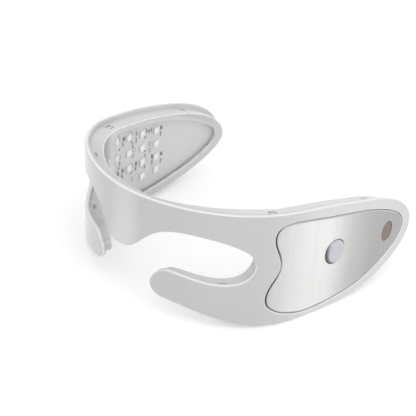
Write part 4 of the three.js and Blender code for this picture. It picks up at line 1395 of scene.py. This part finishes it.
@dataclass
class Tray:
    """The clear light tray, with its rim, its recessed panels and its snap windows.

    Its wide_step is too wide to leave points inside its narrow mouth.
    """

    shell: Shell
    inset: float = 2.4
    start: float = 2.85
    depth: float = 12.5
    wall: float = 1.4
    rounding: float = 0.7
    panel_step: float = 1.4
    panel_lip: float = 0.3
    clearance: float = 0.4
    tongue_clearance: float = 0.75
    cut_start: float = 0.4
    wide_step: float = 20.0
    port_share: float = 0.7155
    port_size: tuple[float, float] = (9.5, 3.5)
    port_depth: float = 5.65

    @property
    def form(self) -> Form:
        """The form that the tray shares with the shell."""
        return self.shell.form

    def build_body(self) -> Piece:
        """The wall, the rim and the panels, as one closed body with a hollow front.

        Returns:
            The piece, without its windows.
        """
        body = FlatBody()
        edge = self.shell.edge()
        ceiling = self.depth - self.wall
        squeeze = self.form.squeeze_depths[0]
        walls = [(0.0, self.start), (0.0, squeeze), (0.0, ceiling)]
        outside = edge.inset(self.inset)
        mouth, _ = body.skirt(outside, walls[:2] + [(0.0, self.depth - self.rounding)])
        # The rounded rim and the panels' lips take the lighter edge finish, painted highlights and
        # reflections.
        _, rim = body.skirt(outside, far_rounding(self.rounding, self.depth), Region.TRIM)
        inner_mouth, roof = body.skirt(edge.inset(self.inset + self.wall), walls, Region.FACE)
        body.fill(mouth, [inner_mouth], step=self.wide_step)
        lip = hole_edge(near_rounding(self.panel_lip, -self.depth)) + [(0.0, self.panel_step - self.depth)]
        # Turned over, because a panel sinks from the rim towards the shell
        steps = [(inset, -depth) for inset, depth in lip]
        outer_holes, inner_holes = [], []
        for side in Side:
            panel = Outline.through(PANEL_SHARES, self.form, side.sign)
            top, _ = body.skirt(panel, steps[:-1], Region.TRIM)
            _, floor = body.skirt(panel, steps[-2:], Region.TRIM)
            outer_holes.append(top)
            body.fill(floor, region=Region.FACE)
            under = [(0.0, ceiling), (0.0, ceiling - self.panel_step)]
            over, low = body.skirt(panel.inset(-self.wall), under, Region.FACE)
            inner_holes.append(over)
            body.fill(low, region=Region.FACE)
        body.fill(rim, outer_holes, Region.RIM)
        body.fill(roof, inner_holes, Region.FACE)
        return body.made("light_tray", self.form.bend)

    def build_cutter(self) -> Piece:
        """The blocks that cut the snap windows and the mouth of the charging socket.

        Returns:
            The blocks, as one piece.
        """
        body = FlatBody()
        shell = self.shell
        edge = shell.edge()
        low, high = shell.hook_depths
        reach = shell.hook_inset + shell.hook_thickness
        for side in Side:
            for shares in HOOK_SHARES:
                place = edge.edge_at(*self.form.spot(shares, side))
                tongue, room = 0.0, self.clearance
                if shares in TONGUE_HOOK_SHARES:
                    tongue, room = shell.hook_tongue, self.tongue_clearance
                across = shell.hook_width / 2 + room
                body.block(*place, (-across, across, self.cut_start, reach),
                           (low - self.clearance, high + tongue + room))
        width, height = self.port_size
        place = edge.edge_at(self.port_share * self.form.half_length, 0)
        depths = (self.port_depth - height / 2, self.port_depth + height / 2)
        body.block(*place, (-width / 2, width / 2, self.cut_start, reach), depths)
        return body.made("tray_cutter", self.form.bend)

    def build(self, wardrobe: Wardrobe) -> None:
        """Makes, cuts and dresses the tray.

        Args:
            wardrobe: dresses the pieces.
        """
        tray, cutter = self.build_body(), self.build_cutter()
        cut = tray.modifiers.new("snap_windows", "BOOLEAN")
        cut.operation = "DIFFERENCE"
        cut.solver = "EXACT"
        cut.object = cutter
        done = bpy.data.meshes.new_from_object(tray.evaluated_get(bpy.context.evaluated_depsgraph_get()))
        tray.modifiers.clear()
        tray.data = done
        bpy.data.objects.remove(cutter)
        wardrobe.dress(shaded(tray), "tray", ["inner_cover"], ("panel", "tray_edge", "tray_rim"))


@dataclass
class Plates:
    """The polished plates and the oval window in the left one."""

    form: Form
    depths: tuple[float, float] = (0.15, 0.95)
    bevel: tuple[tuple[float, float], ...] = ((0.75, 0.0), (0.4, 0.06), (0.15, 0.18), (0.0, 0.4))
    trim: float = 0.1
    button_hole: float = 7.6
    hole_sides: int = 96
    window_radii: tuple[float, float] = (4.8, 5.9)
    window_tilt: float = math.radians(-14)
    window_gap: float = 0.25
    window_depths: tuple[float, float] = (0.15, 1.4)
    window_rounding: float = 0.35

    def oval(self, gap: float) -> Outline:
        """The outline of the window, with a gap round it.

        Args:
            gap: the width of the gap.

        Returns:
            The outline.
        """
        wide, high = self.window_radii
        middle = self.form.spot(self.form.window_shares)
        return Outline.ellipse(middle, (wide + gap, high + gap), self.window_tilt)

    def build(self, wardrobe: Wardrobe) -> None:
        """Makes and dresses both plates and the window.

        Args:
            wardrobe: dresses the pieces.
        """
        form = self.form
        for side in Side:
            body = FlatBody()
            holes = []
            if side is Side.LEFT:
                holes = [Outline.circle(form.button, self.button_hole, self.hole_sides),
                         self.oval(self.window_gap)]
            plate = Outline(plate_outline(form, side).moved(self.trim))
            start, end = self.depths
            bevelled = [(inset, start + drop) for inset, drop in self.bevel]
            # The bevelled edge takes the finish with painted shade.
            near, far = body.skirt(plate, bevelled + [(0.0, end)], Region.FACE)
            rims = [body.skirt(hole, [(0.0, start), (0.0, end)], Region.FACE) for hole in holes]
            body.fill(near, [rim[0] for rim in rims])
            body.fill(far, [rim[1] for rim in rims])
            piece = shaded(body.made(f"polished_plate_{side.label}", form.bend))
            wardrobe.dress(piece, "plate", [f"mirror_plate_{side.label}"], ("plate_edge",))
        window = FlatBody()
        window.slab(self.oval(0), self.window_depths, self.window_rounding)
        wardrobe.dress(shaded(window.made("oval_window", form.bend)), "status", ["indicator_window"])


@dataclass
class PowerButton:
    """The round cap, turned about its own axis."""

    form: Form
    radius: float = 7.1
    proud: float = 1.3
    rounding: float = 1.5
    dome: float = 0.12
    flange_width: float = 1.6
    flange_start: float = 3.1
    flange_thickness: float = 0.7
    stem_radius: float = 1.6
    stem_length: float = 0.6
    sides: int = 96
    face_steps: int = 6
    rim_steps: range = range(5, 12)

    def profile(self) -> list[tuple[float, float]]:
        """Radii and depths, from the middle of the face to the end of the stem.

        Returns:
            Pairs of radius and depth.
        """
        flat = self.radius - self.rounding
        steps = [i / self.face_steps for i in range(1, self.face_steps + 1)]
        face = [(flat * step, self.dome * step ** 2 - self.proud) for step in steps]
        drop = self.rounding - self.dome
        rim = [(flat + self.rounding * math.sin(a), self.dome - self.proud + drop * (1 - math.cos(a)))
               for a in (math.pi / 2 * step for step in steps)]
        flange = self.radius + self.flange_width
        back = self.flange_start + self.flange_thickness
        rest = [(self.radius, self.flange_start), (flange, self.flange_start), (flange, back),
                (self.stem_radius, back), (self.stem_radius, back + self.stem_length)]
        return face + rim + rest

    def build(self, wardrobe: Wardrobe) -> None:
        """Makes and dresses the cap.

        Args:
            wardrobe: dresses the pieces.
        """
        body = FlatBody()
        loops = [body.loop(Outline.circle((0, 0), radius, self.sides).points, depth)
                 for radius, depth in self.profile()]
        # The rounded side of the cap takes the edge finish with painted shade.
        for index, (start, end) in enumerate(zip(loops, loops[1:])):
            body.band(start, end, Region.FACE if index in self.rim_steps else Region.BODY)
        body.fill(loops[0])
        body.fill(loops[-1])
        along, level = self.form.button
        seat = np.array(self.form.seat(along, 0, level))
        piece = body.made("round_power_button", lambda flat: (flat * MM) @ seat[:3, :3].T + seat[:3, 3])
        wardrobe.dress(shaded(piece), "button", ["power_button"], ("button_rim",), body="button")


@dataclass
class Lights:
    """The white boards in the arms, every light package and the small components.

    Its wide_step is too wide to leave points inside the small faces of a package.
    """

    form: Form
    board_depths: tuple[float, float] = (7.4, 8.2)
    board_margin: float = 1.2
    board_edge: float = 0.1
    package_size: float = 4.6
    package_height: float = 0.9
    package_corner: float = 0.25
    back_edge: float = 0.1
    face_edge: float = 0.12
    edge_steps: int = 2
    lens_radius: float = 1.8
    lens_sides: int = 36
    lens_depth: float = 0.28
    lens_lip: float = 0.08
    lens_rise_share: float = 0.75
    lens_steps: int = 5
    pad_reach: float = 0.12
    pad_half: float = 0.4
    pad_rise: float = 0.3
    pad_levels: tuple[float, ...] = (-1.6, 0.0, 1.6)
    wide_step: float = 9.0
    arm_count: int = 13
    eye_count: int = 3
    diode: tuple[float, float, float] = (1.3, 2.3, 0.6)
    resistor: tuple[float, float, float] = (0.9, 0.9, 0.35)
    array: tuple[float, float, float] = (0.9, 2.6, 0.35)
    cap: float = 0.3
    coil_radii: tuple[float, float] = (1.3, 1.7)
    coil_line: float = 0.4
    coil_height: float = 0.08
    coil_sides: int = 20

    def build_board(self, side: Side) -> Piece:
        """A white board behind the tray's panel.

        Args:
            side: the arm that it lies in.

        Returns:
            The piece, in its place.
        """
        body = FlatBody()
        panel = Outline.through(PANEL_SHARES, self.form, side.sign)
        body.slab(panel.inset(-self.board_margin), self.board_depths, self.board_edge)
        return shaded(body.made(f"light_board_{side.label}", self.form.bend))

    def package_mesh(self) -> bpy.types.Mesh:
        """A square package with a round domed lens and three pads on each side.

        Returns:
            The mesh that all packages share.
        """
        body = FlatBody()
        half = self.package_height / 2
        square = Outline.rectangle((self.package_size, self.package_size), self.package_corner)
        profile = (near_rounding(self.back_edge, -half, self.edge_steps)
                   + far_rounding(self.face_edge, half, self.edge_steps))
        back, face = body.skirt(square, profile)
        body.fill(back, step=self.wide_step)
        circle = Outline.circle((0, 0), self.lens_radius, self.lens_sides)
        lip = [(-self.lens_lip, half), (0.0, half - self.lens_lip), (0.0, half - self.lens_depth)]
        rim, bed = body.skirt(circle, lip)
        body.fill(face, [rim], step=self.wide_step)
        for i in range(1, self.lens_steps):
            angle = math.pi / 2 * i / self.lens_steps
            sunk = self.lens_depth * (1 - self.lens_rise_share * math.sin(angle))
            ring = body.loop(circle.moved(self.lens_radius * (1 - math.cos(angle))), half - sunk)
            body.band(bed, ring, Region.FACE)
            bed = ring
        body.fill(bed, region=Region.FACE, step=self.wide_step)
        spans = (-self.pad_reach, self.pad_reach, -self.pad_half, self.pad_half)
        for end in (-self.package_size / 2, self.package_size / 2):
            for level in self.pad_levels:
                body.upright_block((end, level), spans, (-half, self.pad_rise - half), Region.TRIM)
        piece = body.made("light_package", lambda flat: flat * MM)
        mesh = smoothed(piece.data)
        bpy.data.objects.remove(piece)
        return mesh

    def place_package(self, mesh: bpy.types.Mesh, node: str) -> None:
        """Sets one light package where its CAD node is.

        Args:
            mesh: the mesh of a package.
            node: the name of the node.
        """
        turn = self.form.facet_turn(self.form.along_of(node))
        piece = placed(f"light_{node}", mesh)
        piece.matrix_world = Matrix.Translation(node_middle(node)) @ turn.to_4x4()
        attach(piece, "visor")
        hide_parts(node)

    def build_components(self, side: Side, wardrobe: Wardrobe) -> None:
        """The small components between the lights of an arm, with tinned ends, and the printed rings.

        Args:
            side: the arm that they lie in.
            wardrobe: dresses the pieces.
        """
        body = FlatBody()
        for spots, size, region in ((DIODE_SHARES, self.diode, Region.BODY),
                                    (RESISTOR_SHARES, self.resistor, Region.BODY),
                                    (ARRAY_SHARES, self.array, Region.TRIM)):
            for shares in spots:
                self.add_component(body, self.form.spot(shares, side), size, region)
        for shares in COIL_SHARES:
            self.add_coil(body, self.form.spot(shares, side))
        piece = body.made(f"board_components_{side.label}", self.form.bend)
        wardrobe.dress(piece, "black", extra=("pads", "array"))

    def add_component(self, body: FlatBody, middle: tuple[float, float],
                      size: tuple[float, float, float], region: Region) -> None:
        """One upright component with a tinned cap on each end.

        Args:
            body: collects the surfaces.
            middle: its length along and its level.
            size: its width, length and height.
            region: the finish of its body.
        """
        width, length, height = size
        start = self.board_depths[1]
        for low, high, part in ((-length / 2, length / 2, region),
                                (-length / 2 - self.cap, -length / 2, Region.FACE),
                                (length / 2, length / 2 + self.cap, Region.FACE)):
            body.upright_block(middle, (-width / 2, width / 2, low, high), (start, start + height), part)

    def add_coil(self, body: FlatBody, middle: tuple[float, float]) -> None:
        """The printed ring round a small round part.

        Args:
            body: collects the surfaces.
            middle: its length along and its level.
        """
        start = self.board_depths[1]
        outer = Outline.ellipse(middle, self.coil_radii, count=self.coil_sides)
        inner = Outline(outer.moved(self.coil_line))
        profile = [(0.0, start), (0.0, start + self.coil_height)]
        outer_base, outer_top = body.skirt(outer, profile, Region.TRIM)
        inner_base, inner_top = body.skirt(inner, profile, Region.TRIM)
        body.band(outer_top, inner_top, Region.TRIM)
        body.band(inner_base, outer_base, Region.TRIM)

    def build(self, wardrobe: Wardrobe) -> None:
        """Makes and dresses the boards, the packages and the small components.

        Args:
            wardrobe: dresses the pieces.
        """
        mesh = self.package_mesh()
        for slot in ("led", "lens", "pads"):
            mesh.materials.append(wardrobe.get(slot))
        for side in Side:
            wardrobe.dress(self.build_board(side), "board", [f"led_board_{side.label}"])
            for row, count in (("arm", self.arm_count), ("eye", self.eye_count)):
                for number in range(1, count + 1):
                    self.place_package(mesh, f"{row}_led_{side.label}_{number}")
            self.build_components(side, wardrobe)
        LOG.info("light packages: %d", 2 * (self.arm_count + self.eye_count))


@dataclass(frozen=True)
class CarriedNodes:
    """The CAD nodes that keep their own shape, by slot."""

    slots: tuple[tuple[str, tuple[str, ...]], ...] = (
        ("tape", ("mirror_tape_left", "mirror_tape_right")),
        ("black", ("switch_plunger", "port_tongue")),
        ("steel", ("switch_body", "charging_port", "motor_left", "motor_right",
                   "motor_weight_left", "motor_weight_right")),
        ("board", ("eye_board_left", "eye_board_right")),
        ("led", ("indicator_led",)),
        ("circuit", ("control_board",)),
        ("pouch", ("battery",)),
        ("ribbon", ("bridge_ribbon",)),
    )

    def build(self, wardrobe: Wardrobe) -> None:
        """Gives each of them its finish.

        Args:
            wardrobe: dresses the pieces.
        """
        for slot, nodes in self.slots:
            for node in nodes:
                wardrobe.carry_over(node, slot)


@dataclass
class Studio:
    """The pale floor, the soft lights and the camera."""

    form: Form
    camera_place: Place = (326.2, -270.8, 367.7)
    camera_target: Place = (11.7, 54.6, 47.8)
    camera_roll: float = math.radians(-0.22)
    focal_pixels: float = 985.0
    image_pixels: float = 416.0
    clip: tuple[float, float] = (0.01, 20.0)
    floor_size: float = 6.0
    floor_colour: Colour = grey(0.93)
    floor_change: float = 1.02
    floor_cloud_scale: float = 6.0
    floor_glow: float = 0.27
    floor_gap: float = 0.0002
    floor_roughness: float = 0.9
    world_strength: float = 0.8
    lit_place: Place = (0.0, 0.0, 0.04)
    lamps: tuple[tuple[str, Place, float, float], ...] = (
        ("top_light", (0.25, -0.35, 1.1), 0.9, 2.2),
        ("side_light", (1.2, 0.1, 0.35), 0.9, 2.8),
        ("front_light", (-0.7, -1.0, 0.2), 0.6, 0.5),
    )

    def build_floor(self) -> None:
        """A pale floor that keeps a soft shadow and meets a white background."""
        half = self.floor_size / 2
        mesh = bpy.data.meshes.new("floor")
        corners = [(-half, -half), (half, -half), (half, half), (-half, half)]
        mesh.from_pydata([(x, y, -self.floor_gap) for x, y in corners], [], [(0, 1, 2, 3)])
        nodes = Nodes("pale_floor")
        tones = [(0.0, self.floor_colour), (1.0, scaled(self.floor_colour, self.floor_change))]
        mesh.materials.append(nodes.finished(
            Base_Color=nodes.ramp(nodes.noise(self.floor_cloud_scale), tones),
            Roughness=self.floor_roughness,
            Emission_Color=WHITE,
            Emission_Strength=nodes.product(self.seen_rays(nodes.tree), self.floor_glow)))
        placed("floor", mesh)

    @staticmethod
    def seen_rays(tree: bpy.types.NodeTree) -> Socket:
        """1 for the rays of the camera, of gloss and of clear parts, and 0 for the rest.

        Args:
            tree: the tree that gets its nodes.

        Returns:
            The output that gives the number.
        """
        path = tree.nodes.new("ShaderNodeLightPath")
        total = path.outputs["Is Camera Ray"]
        for name in ("Is Glossy Ray", "Is Transmission Ray"):
            most = tree.nodes.new("ShaderNodeMath")
            most.operation = "MAXIMUM"
            tree.links.new(total, most.inputs[0])
            tree.links.new(path.outputs[name], most.inputs[1])
            total = most.outputs[0]
        return total

    def build_world(self) -> None:
        """A world that looks white and lights at a plain level."""
        world = bpy.data.worlds.new("studio")
        world.use_nodes = True
        bpy.context.scene.world = world
        tree = world.node_tree
        background = tree.nodes["Background"]
        background.inputs["Color"].default_value = (*WHITE, 1.0)
        level = tree.nodes.new("ShaderNodeMapRange")
        level.inputs["To Min"].default_value = self.world_strength
        level.inputs["To Max"].default_value = 1.0
        tree.links.new(self.seen_rays(tree), level.inputs["Value"])
        tree.links.new(level.outputs["Result"], background.inputs["Strength"])

    def add_light(self, name: str, place: Place, size: float, watts: float) -> None:
        """A square soft light, placed in metres and aimed at the visor.

        Args:
            name: its name.
            place: where it hangs, in metres.
            size: the length of its sides, in metres.
            watts: its power.
        """
        data = bpy.data.lights.new(name, "AREA")
        data.size = size
        data.energy = watts
        lamp = placed(name, data)
        lamp.location = place
        lamp.rotation_euler = (Vector(self.lit_place) - Vector(place)).to_track_quat("-Z", "Y").to_euler()

    def build_camera(self) -> None:
        """The camera at the viewing angle of the photograph."""
        ends = self.form.stood(np.array([self.camera_place, self.camera_target, (0, 0, 0), (0, 0, 1)]))
        place, target, origin, top = (Vector(end) for end in ends)
        back = (place - target).normalized()
        right = (top - origin).cross(back).normalized()
        turn = Matrix((right, back.cross(right), back)).transposed().to_4x4()
        turn = turn @ Matrix.Rotation(self.camera_roll, 4, "Z")
        data = bpy.data.cameras.new("camera")
        data.lens = data.sensor_width * self.focal_pixels / self.image_pixels
        data.clip_start, data.clip_end = self.clip
        camera = placed("camera", data)
        camera.matrix_world = Matrix.Translation(place) @ turn
        bpy.context.scene.camera = camera

    def build(self) -> None:
        """Sets up the whole studio."""
        bpy.context.scene.view_settings.view_transform = "Standard"
        self.build_camera()
        self.build_floor()
        self.build_world()
        for lamp in self.lamps:
            self.add_light(*lamp)


def main() -> None:
    """Builds the visor piece by piece, then the studio."""
    logging.basicConfig(level=logging.INFO, format="%(message)s")
    form = Form()
    wardrobe = Wardrobe()
    Studio(form).build()
    shell = Shell(form)
    for part in (shell, Tray(shell), Plates(form), PowerButton(form), Lights(form), CarriedNodes()):
        part.build(wardrobe)


if __name__ == "__main__":
    main()
